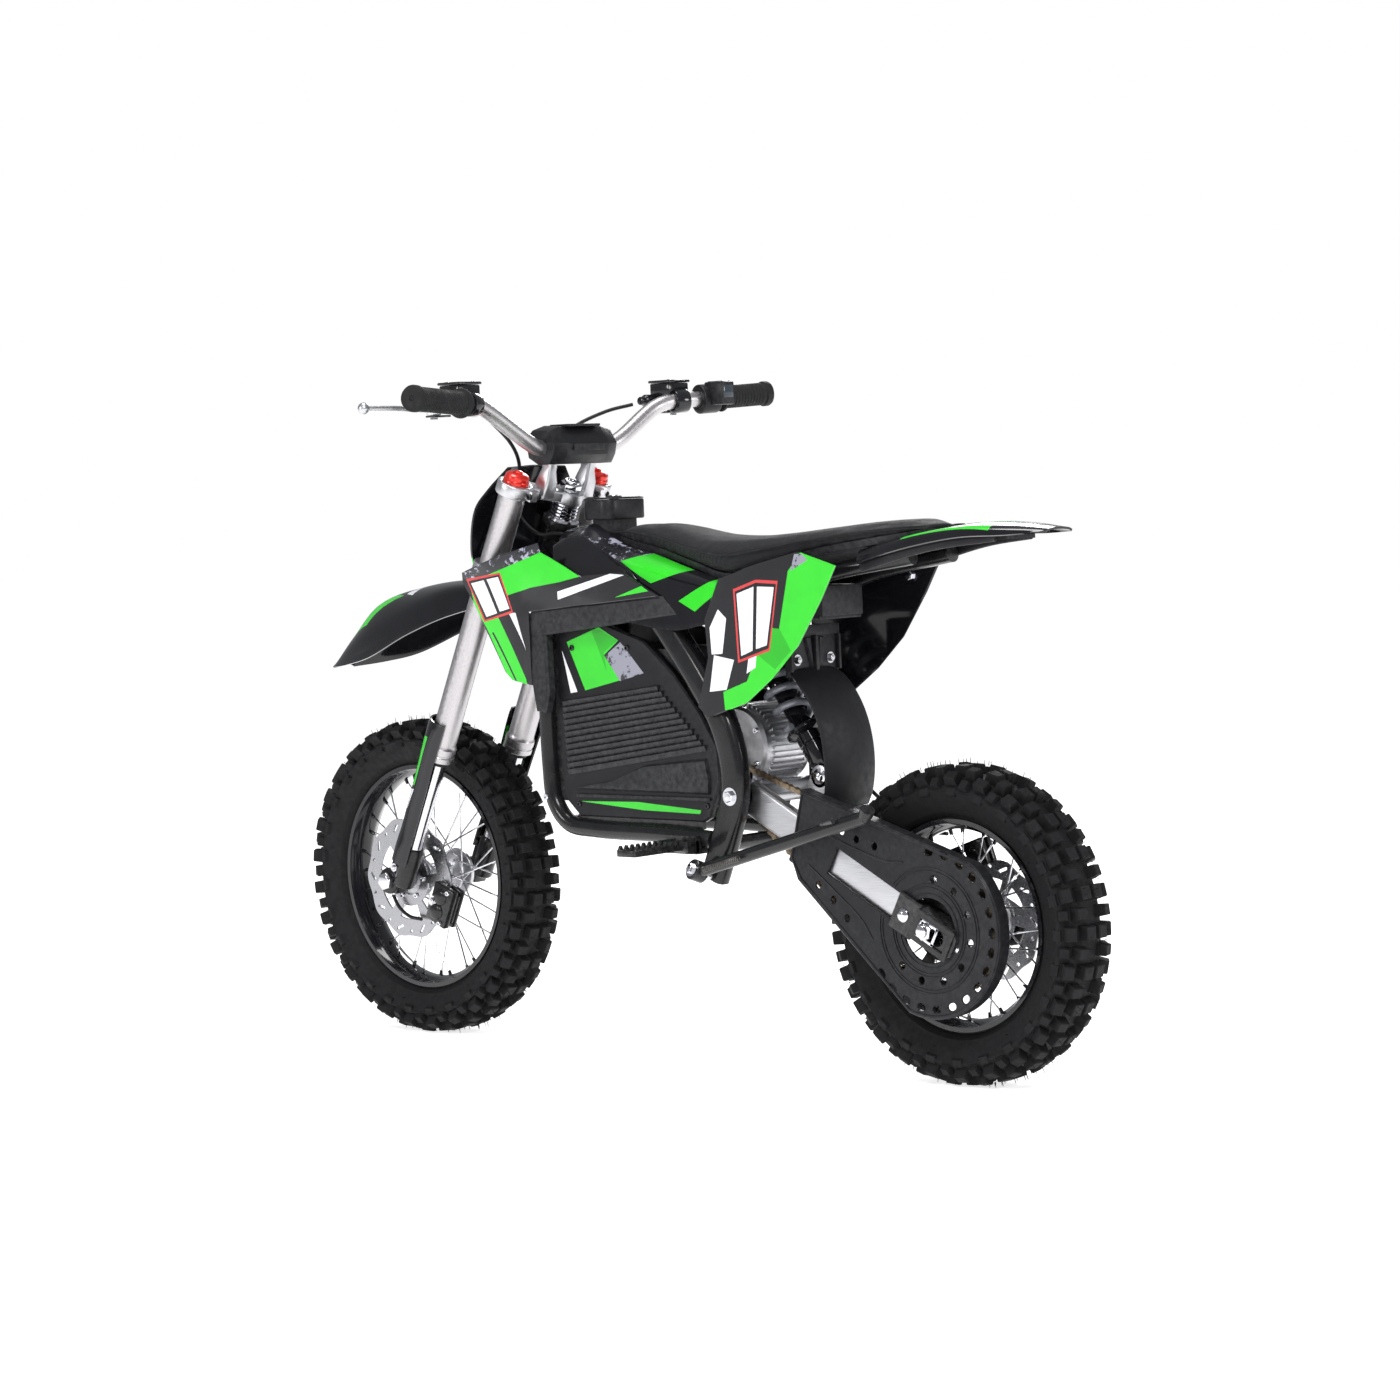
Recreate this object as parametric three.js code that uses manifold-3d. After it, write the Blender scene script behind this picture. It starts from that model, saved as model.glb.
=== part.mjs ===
// A child-size electric dirt bike: 12 inch front and 10 inch rear spoked wheels, upside-down fork,
// swingarm with one shock absorber, chain drive, disc brakes and a battery box in a twin-loop frame.
// Millimetres. +X points forward, +Y to the rider's left, +Z up. The origin is on the ground, under the middle.

import * as THREE from "three";
import { mergeVertices } from "three/addons/utils/BufferGeometryUtils.js";
import Module from "manifold-3d";

const wasm = await Module();
wasm.setup();

// ---------------------------------------------------------------- driving dimensions

const FRONT_TYRE_R = 227;
const REAR_TYRE_R = 205;
const WHEELBASE = 990;
const FRONT_LIP_R = 162; // outer radius of the 12 inch rim
const REAR_LIP_R = 136.5; // outer radius of the 10 inch rim
const FRONT_TYRE_HALF = 42;
const REAR_TYRE_HALF = 44;
const RIM_HALF = 24;

const REAR_AXLE_X = -(WHEELBASE + FRONT_TYRE_R - REAR_TYRE_R) / 2;
const FRONT_AXLE = new THREE.Vector3(REAR_AXLE_X + WHEELBASE, 0, FRONT_TYRE_R);
const REAR_AXLE = new THREE.Vector3(REAR_AXLE_X, 0, REAR_TYRE_R);

const RAKE = THREE.MathUtils.degToRad(25);
const AXLE_LEAD = 18; // the axle sits this far ahead of the fork legs
const STEM_SETBACK = 30; // the stem sits this far behind the fork legs
const LEG_Y = 78;
const FORK_TUBE_R = 19;
const STANCHION_R = 12.5;
const BAR_R = 11;

const PIVOT = new THREE.Vector3(-196, 0, 368);
const DRIVE_SHAFT = new THREE.Vector3(-160, 0, 390);
const MOTOR_CENTRE = new THREE.Vector3(-152, 0, 428);
const MOTOR_R = 57;
const CHAIN_Y = 51;
const REAR_CHAIN_R = 86;
const DRIVE_CHAIN_R = (REAR_CHAIN_R * 12) / 54; // 12 and 54 teeth
const BEAM_INNER_Y = 57;
const BEAM_OUTER_Y = 73;
const SHOCK_TOP = new THREE.Vector3(-129, 0, 610);
const SHOCK_BOTTOM = new THREE.Vector3(-285, 0, 390);

const LOOP_Y = 82; // front frame loops
const REAR_TUBE_Y = 88;
const FIT = 0.4; // gap between pieces that touch on the real object

const STAND_PIVOT = new THREE.Vector3(-150, 119, 270);
const STAND_AXIS = new THREE.Vector3(0.185, 0.909, 0.372).normalize();
const STAND_TIP = new THREE.Vector3(-453, 132, 352);
const PEG_PIVOT = new THREE.Vector3(-108, 114, 300);

// ---------------------------------------------------------------- materials

const finish = (color, roughness, metalness) => new THREE.MeshStandardMaterial({ color, roughness, metalness });
const BLACK_PAINT = finish(0x17171a, 0.4, 0.2);
const BLACK_PLASTIC = finish(0x1b1b1e, 0.5, 0);
const GLOSS_BLACK = finish(0x111113, 0.2, 0);
const GREEN_PLASTIC = finish(0x36d024, 0.25, 0);
const SILVER = finish(0xc3c3c6, 0.35, 0.9);
const SATIN = finish(0xb9b6b6, 0.45, 0.8);
const CHROME = finish(0xe2e2e4, 0.12, 1);
const RUBBER = finish(0x151516, 0.85, 0);
const STEEL = finish(0x8d8f92, 0.4, 0.9);
const SEAT_FABRIC = finish(0x1d1d20, 0.9, 0);
const SPRING_GREY = finish(0x8b8d94, 0.35, 0.6);

// ---------------------------------------------------------------- geometry helpers

const vec = (x, y, z) => new THREE.Vector3(x, y, z);
const UP = vec(0, 1, 0);

// A point in the fork's own frame: t along the leg, ahead of the leg's line, and y across.
const ALONG = vec(-Math.sin(RAKE), 0, Math.cos(RAKE));
const AHEAD = vec(Math.cos(RAKE), 0, Math.sin(RAKE));
const LEG_FOOT = FRONT_AXLE.clone().addScaledVector(AHEAD, -AXLE_LEAD);
function fork(t, ahead, y) {
  return LEG_FOOT.clone().addScaledVector(ALONG, t).addScaledVector(AHEAD, ahead).setY(y);
}

// A point in the swingarm's own frame: s along the beam from the pivot, n above the beam, and y across.
const BEAM_LENGTH = PIVOT.distanceTo(REAR_AXLE);
const BEAM = REAR_AXLE.clone().sub(PIVOT).normalize();
const BEAM_UP = vec(BEAM.z, 0, -BEAM.x);
function arm(s, n, y) {
  return PIVOT.clone().addScaledVector(BEAM, s).addScaledVector(BEAM_UP, n).setY(y);
}

function solid(geometry) {
  const bare = geometry.index ? geometry.toNonIndexed() : geometry.clone();
  const positions = new THREE.BufferGeometry();
  positions.setAttribute("position", bare.getAttribute("position"));
  const merged = mergeVertices(positions, 1e-3);
  const mesh = new wasm.Mesh({
    numProp: 3,
    vertProperties: merged.attributes.position.array,
    triVerts: new Uint32Array(merged.index.array),
  });
  return new wasm.Manifold(mesh);
}

function geometryOf(manifold) {
  const mesh = manifold.getMesh();
  const geometry = new THREE.BufferGeometry();
  geometry.setAttribute("position", new THREE.BufferAttribute(mesh.vertProperties, 3));
  geometry.setIndex(new THREE.BufferAttribute(mesh.triVerts, 1));
  return geometry;
}

function join(...pieces) {
  return geometryOf(pieces.map(solid).reduce((a, b) => a.add(b)));
}

function cut(base, ...tools) {
  return geometryOf(tools.map(solid).reduce((a, b) => a.subtract(b), solid(base)));
}

function turnedInsideOut(geometry) {
  const index = geometry.index.array;
  for (let i = 0; i < index.length; i += 3) {
    [index[i + 1], index[i + 2]] = [index[i + 2], index[i + 1]];
  }
  return geometry;
}

function signedVolume(geometry) {
  const p = geometry.getAttribute("position");
  const index = geometry.index.array;
  const [a, b, c] = [vec(0, 0, 0), vec(0, 0, 0), vec(0, 0, 0)];
  let volume = 0;
  for (let i = 0; i < index.length; i += 3) {
    a.fromBufferAttribute(p, index[i]);
    b.fromBufferAttribute(p, index[i + 1]);
    c.fromBufferAttribute(p, index[i + 2]);
    volume += a.dot(b.cross(c)) / 6;
  }
  return volume;
}

function facingOut(geometry) {
  return signedVolume(geometry) < 0 ? turnedInsideOut(geometry) : geometry;
}

function indexed(points, index) {
  const geometry = new THREE.BufferGeometry().setFromPoints(points);
  geometry.setIndex(index);
  return facingOut(geometry);
}

// A closed solid through rings of points, with flat ends.
function loft(rings) {
  const n = rings[0].length;
  const points = rings.flat();
  const index = [];
  for (let r = 0; r + 1 < rings.length; r++) {
    for (let i = 0; i < n; i++) {
      const a = r * n + i;
      const b = r * n + ((i + 1) % n);
      index.push(a, b, b + n, a, b + n, a + n);
    }
  }
  const last = (rings.length - 1) * n;
  for (let i = 1; i + 1 < n; i++) {
    index.push(0, i + 1, i);
    index.push(last, last + i, last + i + 1);
  }
  return indexed(points, index);
}

// A thin curved panel: rows of points for its outer face, and its thickness inwards.
function panel(rows, thickness) {
  const m = rows.length;
  const n = rows[0].length;
  const outer = rows.flat();
  const at = (i, j) => rows[Math.min(Math.max(i, 0), m - 1)][Math.min(Math.max(j, 0), n - 1)];
  const inner = [];
  for (let i = 0; i < m; i++) {
    for (let j = 0; j < n; j++) {
      const along = at(i + 1, j).clone().sub(at(i - 1, j));
      const across = at(i, j + 1).clone().sub(at(i, j - 1));
      const normal = along.cross(across).normalize();
      inner.push(at(i, j).clone().addScaledVector(normal, thickness));
    }
  }
  const k = m * n;
  const index = [];
  const quad = (a, b, c, d) => index.push(a, b, c, a, c, d);
  for (let i = 0; i + 1 < m; i++) {
    for (let j = 0; j + 1 < n; j++) {
      const a = i * n + j;
      quad(a, a + 1, a + n + 1, a + n);
      quad(k + a, k + a + n, k + a + n + 1, k + a + 1);
    }
  }
  for (let j = 0; j + 1 < n; j++) {
    const b = (m - 1) * n + j;
    quad(j, k + j, k + j + 1, j + 1);
    quad(b, b + 1, k + b + 1, k + b);
  }
  for (let i = 0; i + 1 < m; i++) {
    const a = i * n;
    const b = a + n - 1;
    quad(a, a + n, k + a + n, k + a);
    quad(b, k + b, k + b + n, b + n);
  }
  return indexed([...outer, ...inner], index);
}

function block(low, high) {
  const size = high.clone().sub(low);
  const centre = high.clone().add(low).multiplyScalar(0.5);
  return new THREE.BoxGeometry(size.x, size.y, size.z).translate(centre.x, centre.y, centre.z);
}

// A box whose long side runs from one point to another, turned about the Y axis only.
function beam(from, to, height, width) {
  const length = from.distanceTo(to);
  const angle = Math.atan2(-(to.z - from.z), to.x - from.x);
  const middle = from.clone().add(to).multiplyScalar(0.5);
  return new THREE.BoxGeometry(length, width, height).rotateY(angle).translate(middle.x, middle.y, middle.z);
}

function oriented(geometry, base, direction) {
  const turn = new THREE.Quaternion().setFromUnitVectors(UP, direction.clone().normalize());
  return geometry.applyQuaternion(turn).translate(base.x, base.y, base.z);
}

function rod(from, to, radius, sides = 10, endRadius = radius) {
  const length = from.distanceTo(to);
  const geometry = new THREE.CylinderGeometry(endRadius, radius, length, sides).translate(0, length / 2, 0);
  return oriented(geometry, from, to.clone().sub(from));
}

// A turned piece: [radius, height] points about an axis that starts at base.
function turned(profile, base, direction, sides = 12, start = 0) {
  const points = profile.map(([r, h]) => new THREE.Vector2(r, h));
  const geometry = mergeVertices(bare(new THREE.LatheGeometry(points, sides, start)), 1e-3);
  return oriented(facingOut(geometry), base, direction);
}

function bare(geometry) {
  geometry.deleteAttribute("normal");
  geometry.deleteAttribute("uv");
  return geometry;
}

function closedProfile(points) {
  return [...points, points[0]];
}

function circleShape(radius, sides) {
  const shape = new THREE.Shape();
  for (let i = 0; i < sides; i++) {
    const a = (2 * Math.PI * i) / sides;
    const method = i ? "lineTo" : "moveTo";
    shape[method](radius * Math.cos(a), radius * Math.sin(a));
  }
  return shape;
}

function rectangleShape(width, height, corner) {
  const [x, y] = [width / 2, height / 2];
  const points = [
    [-x + corner, -y], [x - corner, -y], [x, -y + corner], [x, y - corner],
    [x - corner, y], [-x + corner, y], [-x, y - corner], [-x, -y + corner],
  ];
  return new THREE.Shape(points.map(([a, b]) => new THREE.Vector2(a, b)));
}

function sweep(points, shape, steps) {
  const path = new THREE.CatmullRomCurve3(points, false, "centripetal");
  return new THREE.ExtrudeGeometry(shape, { steps, extrudePath: path, bevelEnabled: false });
}

function tube(points, radius, steps, sides = 10) {
  return sweep(points, circleShape(radius, sides), steps);
}

// A flat plate in the X-Z plane, from y0 to y1; its outline and holes are lists of [x, z].
function plate(outline, y0, y1, holes = []) {
  const toPath = (Kind, points) => new Kind(points.map(([x, z]) => new THREE.Vector2(x, z)));
  const shape = toPath(THREE.Shape, outline);
  shape.holes = holes.map((hole) => toPath(THREE.Path, hole));
  const geometry = new THREE.ExtrudeGeometry(shape, { depth: y1 - y0, bevelEnabled: false });
  return geometry.rotateX(Math.PI / 2).translate(0, y1, 0);
}

function arcPoints(cx, cz, radius, from, to, count) {
  const points = [];
  for (let i = 0; i <= count; i++) {
    const a = THREE.MathUtils.degToRad(from + ((to - from) * i) / count);
    points.push([cx + radius * Math.cos(a), cz + radius * Math.sin(a)]);
  }
  return points;
}

const circlePoints = (cx, cz, radius, count) => arcPoints(cx, cz, radius, 0, 360, count).slice(0, -1);

function mirroredSection(half) {
  const left = half.slice(1).map(([y, z]) => [y, z]).reverse();
  const right = half.map(([y, z]) => [-y, z]);
  return [...left, ...right];
}

// ---------------------------------------------------------------- wheels

const WHEEL_SIDES = 24;
const WHEEL_TURN = Math.PI / WHEEL_SIDES; // so that a wheel stands on a flat facet, not on an edge

function tyre(axle, rollingRadius, lip, half) {
  const radius = rollingRadius / Math.cos(WHEEL_TURN);
  const h = radius - lip;
  const outer = [
    [lip - 6, RIM_HALF - 10], [lip - 6, RIM_HALF - 4.6], [lip + 2, RIM_HALF - 4], [lip + 0.22 * h, 0.82 * half],
    [lip + 0.6 * h, half], [lip + 0.88 * h, 0.86 * half], [radius, 0.4 * half],
  ];
  const inner = [[radius - 8, 0.4 * half], [lip + 0.4 * h, half - 10]];
  const flip = (points) => points.map(([r, y]) => [r, -y]).reverse();
  const profile = closedProfile([...outer, ...flip(outer), ...flip(inner), ...inner]);
  return turned(profile, axle, UP, WHEEL_SIDES, WHEEL_TURN);
}

function rim(axle, lip) {
  const half = [
    [lip, RIM_HALF], [lip, RIM_HALF - 2.5], [lip - 7, RIM_HALF - 3.8], [lip - 10, RIM_HALF - 14],
  ];
  const inner = [[lip - 15, RIM_HALF - 15], [lip - 6, RIM_HALF]];
  const flip = (points) => points.map(([r, y]) => [r, -y]).reverse();
  const profile = closedProfile([...half, ...flip(half), ...flip(inner), ...inner]);
  return turned(profile, axle, UP, WHEEL_SIDES, WHEEL_TURN);
}

const SPOKES = 16; // half the real number
const HUB_FLANGE_Y = 28;
const HUB_FLANGE_R = 29;
const HUB_FACE_Y = 47.6;
const AXLE_R = 8;

function hub(axle, lip) {
  const bore = AXLE_R + FIT;
  const side = [
    [17, 25], [HUB_FLANGE_R, 26], [HUB_FLANGE_R, 31], [22, 32], [22, 41], [34, 42], [34, HUB_FACE_Y],
  ];
  const flip = side.map(([r, y]) => [r, -y]).reverse();
  const profile = closedProfile([[bore, -HUB_FACE_Y], ...flip, ...side, [bore, HUB_FACE_Y]]);
  const pieces = [turned(profile, axle, UP)];
  const rimRadius = (lip - 15) * Math.cos(Math.PI / WHEEL_SIDES) - 0.5; // just clear of the rim's bore
  const lead = THREE.MathUtils.degToRad(48);
  for (let i = 0; i < SPOKES; i++) {
    const side = i % 2 ? 1 : -1;
    const head = Math.floor(i / 2) % 2 ? 1 : -1;
    const a = (2 * Math.PI * i) / SPOKES;
    const b = a + head * lead;
    const y = side * (HUB_FLANGE_Y + 2 * head);
    const from = axle.clone().add(vec(26 * Math.cos(b), y, 26 * Math.sin(b)));
    const to = axle.clone().add(vec(rimRadius * Math.cos(a), side * 4, rimRadius * Math.sin(a)));
    pieces.push(rod(from, to, 1.5, 3));
  }
  return join(...pieces);
}

function brakeDisc(axle, radius, y0, y1) {
  const WAVES = 8;
  const outline = [];
  for (let i = 0; i < WAVES * 4; i++) {
    const a = (2 * Math.PI * i) / (WAVES * 4);
    const r = radius - 2 + 2 * Math.cos(WAVES * a);
    outline.push([axle.x + r * Math.cos(a), axle.z + r * Math.sin(a)]);
  }
  return plate(outline, y0, y1, [circlePoints(axle.x, axle.z, 24, 14)]);
}

function nut(centre, radius, height) {
  const top = centre.clone().setY(centre.y + height);
  return rod(centre, top, radius, 6);
}

const FRONT_LUG_INNER = 64;
const FRONT_LUG_OUTER = 92;

function frontAxle() {
  const at = (y) => FRONT_AXLE.clone().setY(y);
  return join(
    rod(at(-98), at(98), AXLE_R),
    rod(at(HUB_FACE_Y + 3.8), at(FRONT_LUG_INNER - FIT), 13),
    rod(at(-FRONT_LUG_INNER + FIT), at(-HUB_FACE_Y - FIT), 13),
    nut(at(FRONT_LUG_OUTER + FIT), 13, 9),
    nut(at(-FRONT_LUG_OUTER - FIT - 9), 13, 9),
  );
}

function rearAxle() {
  const at = (y) => REAR_AXLE.clone().setY(y);
  return join(
    rod(at(-92), at(96), AXLE_R),
    rod(at(HUB_FACE_Y + 7.8), at(BEAM_INNER_Y - FIT), 12),
    rod(at(-BEAM_INNER_Y + FIT), at(-HUB_FACE_Y - 3.8), 12),
    nut(at(84 + FIT), 12, 9),
    nut(at(-84 - FIT - 9), 12, 9),
  );
}

// ---------------------------------------------------------------- fork and steering

function forkTube(y) {
  const bore = STANCHION_R + 1.5;
  const profile = [
    [0, 600], [bore, 600], [bore, 204], [21.5, 206], [21.5, 226], [FORK_TUBE_R, 229], [FORK_TUBE_R, 633],
    [17.5, 634], [17.5, 642], [14.5, 650], [0, 650],
  ];
  return turned(profile, fork(0, 0, y), ALONG);
}

function forkLeg(side) {
  const y = side * LEG_Y;
  const inner = side * FRONT_LUG_INNER;
  const outer = side * FRONT_LUG_OUTER;
  const axleAt = (across) => fork(0, AXLE_LEAD, across);
  const body = join(
    rod(fork(30, 0, y), fork(505, 0, y), STANCHION_R),
    rod(fork(2, 0, y), fork(62, 0, y), 13.6),
    rod(axleAt(inner), axleAt(outer), 19),
    beam(fork(-12, 8, y), fork(44, 8, y), 20, 24),
  );
  return cut(body, rod(axleAt(inner - side * 5), axleAt(outer + side * 5), AXLE_R + FIT));
}

function forkGuard(side) {
  const rows = [];
  for (const [t, radius] of [[38, 26], [90, 25], [170, 26], [262, 28]]) {
    const row = [];
    for (let i = 0; i <= 6; i++) {
      const a = THREE.MathUtils.degToRad(-20 + i * 24);
      row.push(fork(t, radius * Math.cos(a), side * (LEG_Y + radius * Math.sin(a))));
    }
    rows.push(row);
  }
  const shell = panel(rows, side * 2.5);
  return join(shell, rod(fork(46, 18.8, side * 82), fork(46, 27, side * 82), 6, 8));
}

const CLAMP_LOW = [480, 506];
const CLAMP_HIGH = [612, 630];

function clampPlate([t0, t1], ringRadius) {
  const pieces = [];
  for (const side of [1, -1]) {
    pieces.push(rod(fork(t0, 0, side * LEG_Y), fork(t1, 0, side * LEG_Y), ringRadius, 12));
    const arm0 = fork(t0 + 2, -STEM_SETBACK, 0);
    const rows = [t0 + 2, t1 - 2].map((t) => [
      fork(t, -STEM_SETBACK - 17, 0), fork(t, -STEM_SETBACK + 17, 0),
      fork(t, 13, side * (LEG_Y - 8)), fork(t, -13, side * (LEG_Y - 8)),
    ]);
    pieces.push(loft(rows));
    if (side > 0) pieces.push(rod(arm0, fork(t1, -STEM_SETBACK, 0), 22));
  }
  return join(...pieces);
}

const legBores = ([t0, t1]) =>
  [1, -1].map((s) => rod(fork(t0 - 5, 0, s * LEG_Y), fork(t1 + 5, 0, s * LEG_Y), FORK_TUBE_R + FIT, 12));

function lowerClamp() {
  const plateBody = cut(clampPlate(CLAMP_LOW, 27), ...legBores(CLAMP_LOW));
  return join(
    plateBody,
    rod(fork(482, -STEM_SETBACK, 0), fork(640, -STEM_SETBACK, 0), 11),
    rod(fork(630 + FIT, -STEM_SETBACK, 0), fork(642, -STEM_SETBACK, 0), 15, 6),
  );
}

const BAR_CENTRE = fork(686, -14, 0);
const BAR_POINTS = [
  [111.5, 349, 905], [140, 252, 900], [157, 188, 896.5], [163, 164, 888],
  [163, 90, 845], [BAR_CENTRE.x, 66, BAR_CENTRE.z + 1], [BAR_CENTRE.x, 0, BAR_CENTRE.z],
];

function upperClamp() {
  const riser = (side) => {
    const y = side * 38;
    const base = (t) => [
      fork(t, -32, y - 11), fork(t, -6, y - 11), fork(t, -6, y + 11), fork(t, -32, y + 11),
    ];
    const head = [
      fork(684, -26, y - 9), fork(684, -2, y - 9), fork(684, -2, y + 9), fork(684, -26, y + 9),
    ];
    return loft([base(620), base(640), head]);
  };
  const barrel = (side) =>
    rod(BAR_CENTRE.clone().setY(side * 28), BAR_CENTRE.clone().setY(side * 48), 18);
  const body = join(clampPlate(CLAMP_HIGH, 25), riser(1), riser(-1), barrel(1), barrel(-1));
  const stemHole = rod(fork(600, -STEM_SETBACK, 0), fork(632, -STEM_SETBACK, 0), 11 + FIT);
  const barHole = rod(BAR_CENTRE.clone().setY(-60), BAR_CENTRE.clone().setY(60), BAR_R + 2);
  return cut(body, ...legBores(CLAMP_HIGH), stemHole, barHole);
}

function handlebar() {
  const left = BAR_POINTS.map(([x, y, z]) => vec(x, y, z));
  const right = BAR_POINTS.slice(0, -1).map(([x, y, z]) => vec(x, -y, z)).reverse();
  return tube([...left, ...right], BAR_R, 24, 8);
}

// A point on the straight outer stretch of the bar, at a distance y from the middle.
function barPoint(y) {
  const f = (Math.abs(y) - 188) / (349 - 188);
  return vec(157 + (111.5 - 157) * f, y, 896.5 + (905 - 896.5) * f);
}

function gripSleeve(side, from, to, endRadius) {
  const body = join(
    rod(barPoint(side * from), barPoint(side * to), 15, 12, endRadius),
    rod(barPoint(side * from), barPoint(side * (from + 4)), 20),
    rod(barPoint(side * (to - 3)), barPoint(side * (to + 3)), endRadius + 1.5),
  );
  return cut(body, rod(barPoint(side * (from - 6)), barPoint(side * 352), BAR_R + 1.4, 12));
}

function throttleHousing() {
  const a = barPoint(-238);
  const b = barPoint(-268);
  const body = join(rod(a, b, 21, 12), block(vec(a.x - 44, -266, a.z - 12), vec(a.x - 8, -240, a.z + 22)));
  return cut(body, rod(barPoint(-230), barPoint(-276), BAR_R + 1.4, 12));
}

function brakeMaster(side) {
  const at = barPoint(side * 208);
  const body = join(
    rod(barPoint(side * 196), barPoint(side * 218), 17, 12),
    block(vec(at.x + 2, side * 206 - 18, at.z + 6), vec(at.x + 36, side * 206 + 18, at.z + 30)),
    rod(vec(at.x + 36, side * 160, at.z + 2), vec(at.x + 36, side * 222, at.z + 2), 9, 10),
    block(vec(at.x + 4, side * 208 - 12, at.z - 8), vec(at.x + 36, side * 208 + 12, at.z + 10)),
  );
  return cut(body, rod(barPoint(side * 186), barPoint(side * 232), BAR_R + 1.6, 12));
}

const LEVER_PIVOT = vec(192, 236, 892);

function brakeLever(side) {
  const p = LEVER_PIVOT;
  const blade = tube([
    vec(p.x, side * p.y, p.z), vec(p.x + 8, side * 262, p.z + 1), vec(p.x + 2, side * 305, p.z + 3),
    vec(p.x + 14, side * 350, p.z + 4),
  ], 5, 7, 6);
  const tip = new THREE.SphereGeometry(8, 6, 4).translate(p.x + 14, side * 350, p.z + 4);
  const eye = rod(vec(p.x, side * p.y, p.z - 7), vec(p.x, side * p.y, p.z + 7), 10, 12);
  return join(blade, tip, eye);
}

function barPad() {
  const c = BAR_CENTRE;
  const section = (y, grow) => [
    vec(c.x - 26 - grow, y, c.z - 10), vec(c.x - 30 - grow, y, c.z + 6), vec(c.x - 14, y, c.z + 28 + grow),
    vec(c.x + 16, y, c.z + 30 + grow), vec(c.x + 30, y, c.z + 14), vec(c.x + 26, y, c.z - 12),
    vec(c.x + 8, y, c.z - 20), vec(c.x - 14, y, c.z - 20),
  ];
  const body = loft([section(-62, -4), section(-40, 2), section(40, 2), section(62, -4)]);
  return cut(
    body,
    rod(c.clone().setY(-54), c.clone().setY(54), 19.5, 16),
    rod(c.clone().setY(-70), c.clone().setY(70), BAR_R + 2.4, 16),
    block(vec(c.x - 22, -54, c.z - 40), vec(c.x + 19, 54, c.z)),
  );
}

function numberPlate() {
  const AHEAD_OF_LEG = 46;
  const rows = [[634, 56], [600, 84], [573, 98], [510, 84], [470, 60]].map(([t, half]) => {
    const row = [];
    for (let i = -2; i <= 2; i++) {
      const y = (half * i) / 2;
      row.push(fork(t, AHEAD_OF_LEG - Math.abs(i) * 3, y));
    }
    return row;
  });
  return panel(rows, 3);
}

// Rows of a saddle-shaped cover: for each x, half a section as [y, z] from the middle outwards.
function saddleRows(stations) {
  return stations.map(([x, half]) => mirroredSection(half).map(([y, z]) => vec(x, y, z)));
}

function frontFender() {
  const rows = saddleRows([
    [660, [[0, 533], [8, 532.5], [15, 531], [20, 528]]],
    [606, [[0, 580], [17, 577], [32, 562], [36, 535]]],
    [549, [[0, 623], [26, 617], [44, 588], [48, 546]]],
    [454, [[0, 645], [30, 640], [51, 620], [58, 580]]],
    [367, [[0, 652], [30, 650], [50, 640], [56, 606]]],
    [300, [[0, 646], [28, 645], [44, 638], [50, 616]]],
    [236, [[0, 622], [26, 621], [40, 616], [44, 602]]],
  ]);
  return panel(rows, 3);
}

// ---------------------------------------------------------------- frame

const HEAD_TUBE = [512, 586];

function headTube() {
  const profile = closedProfile([
    [13.5, HEAD_TUBE[0]], [26, HEAD_TUBE[0]], [26, 522], [23, 526], [23, 572], [26, 576], [26, HEAD_TUBE[1]],
    [19, 588], [19, 611], [13.5, 611],
  ]);
  return turned(profile, fork(0, -STEM_SETBACK, 0), ALONG);
}

function frontLoop(side) {
  const points = [
    [212, 12, 690], [184, 25, 668], [168, 40, 632], [158, 60, 592], [154, 76, 548], [153, LOOP_Y, 500],
    [152, LOOP_Y, 400], [146, LOOP_Y, 352], [120, LOOP_Y, 322], [70, LOOP_Y, 315], [-60, 84, 313],
    [-152, 87, 308],
  ];
  return tube(points.map(([x, y, z]) => vec(x, side * y, z)), 12, 14, 6);
}

function seatRail(side) {
  const points = [
    [204, 14, 704], [150, 36, 686], [100, 54, 666], [20, 68, 642], [-60, 74, 628], [-180, 72, 620],
    [-250, 66, 634], [-330, 57, 655], [-470, 40, 676],
  ];
  return tube(points.map(([x, y, z]) => vec(x, side * y, z)), 11, 8, 6);
}

function rearTube(side) {
  const points = [
    [-46, 72, 622], [-100, 78, 566], [-150, 86, 512], [-182, REAR_TUBE_Y, 462],
    [-196, REAR_TUBE_Y, 410], [-194, REAR_TUBE_Y, 366], [-172, REAR_TUBE_Y, 318], [-152, REAR_TUBE_Y, 258],
  ];
  return sweep(points.map(([x, y, z]) => vec(x, side * y, z)), rectangleShape(25, 34, 6), 8);
}

function pegBracket(side) {
  const p = PEG_PIVOT;
  const wide = 24;
  const between = (y0, y1, x0, x1, z0, z1) => {
    const [low, high] = side > 0 ? [y0, y1] : [-y1, -y0];
    return block(vec(x0, low, z0), vec(x1, high, z1));
  };
  return [
    between(80, 105, p.x - wide - 4, p.x + wide + 4, 290, 314),
    between(100, 122, p.x - wide - 4, p.x - wide, 292, 308),
    between(100, 122, p.x + wide, p.x + wide + 4, 292, 308),
    rod(vec(p.x - wide - 2, side * p.y, p.z), vec(p.x + wide + 2, side * p.y, p.z), 3, 8),
  ];
}

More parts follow.
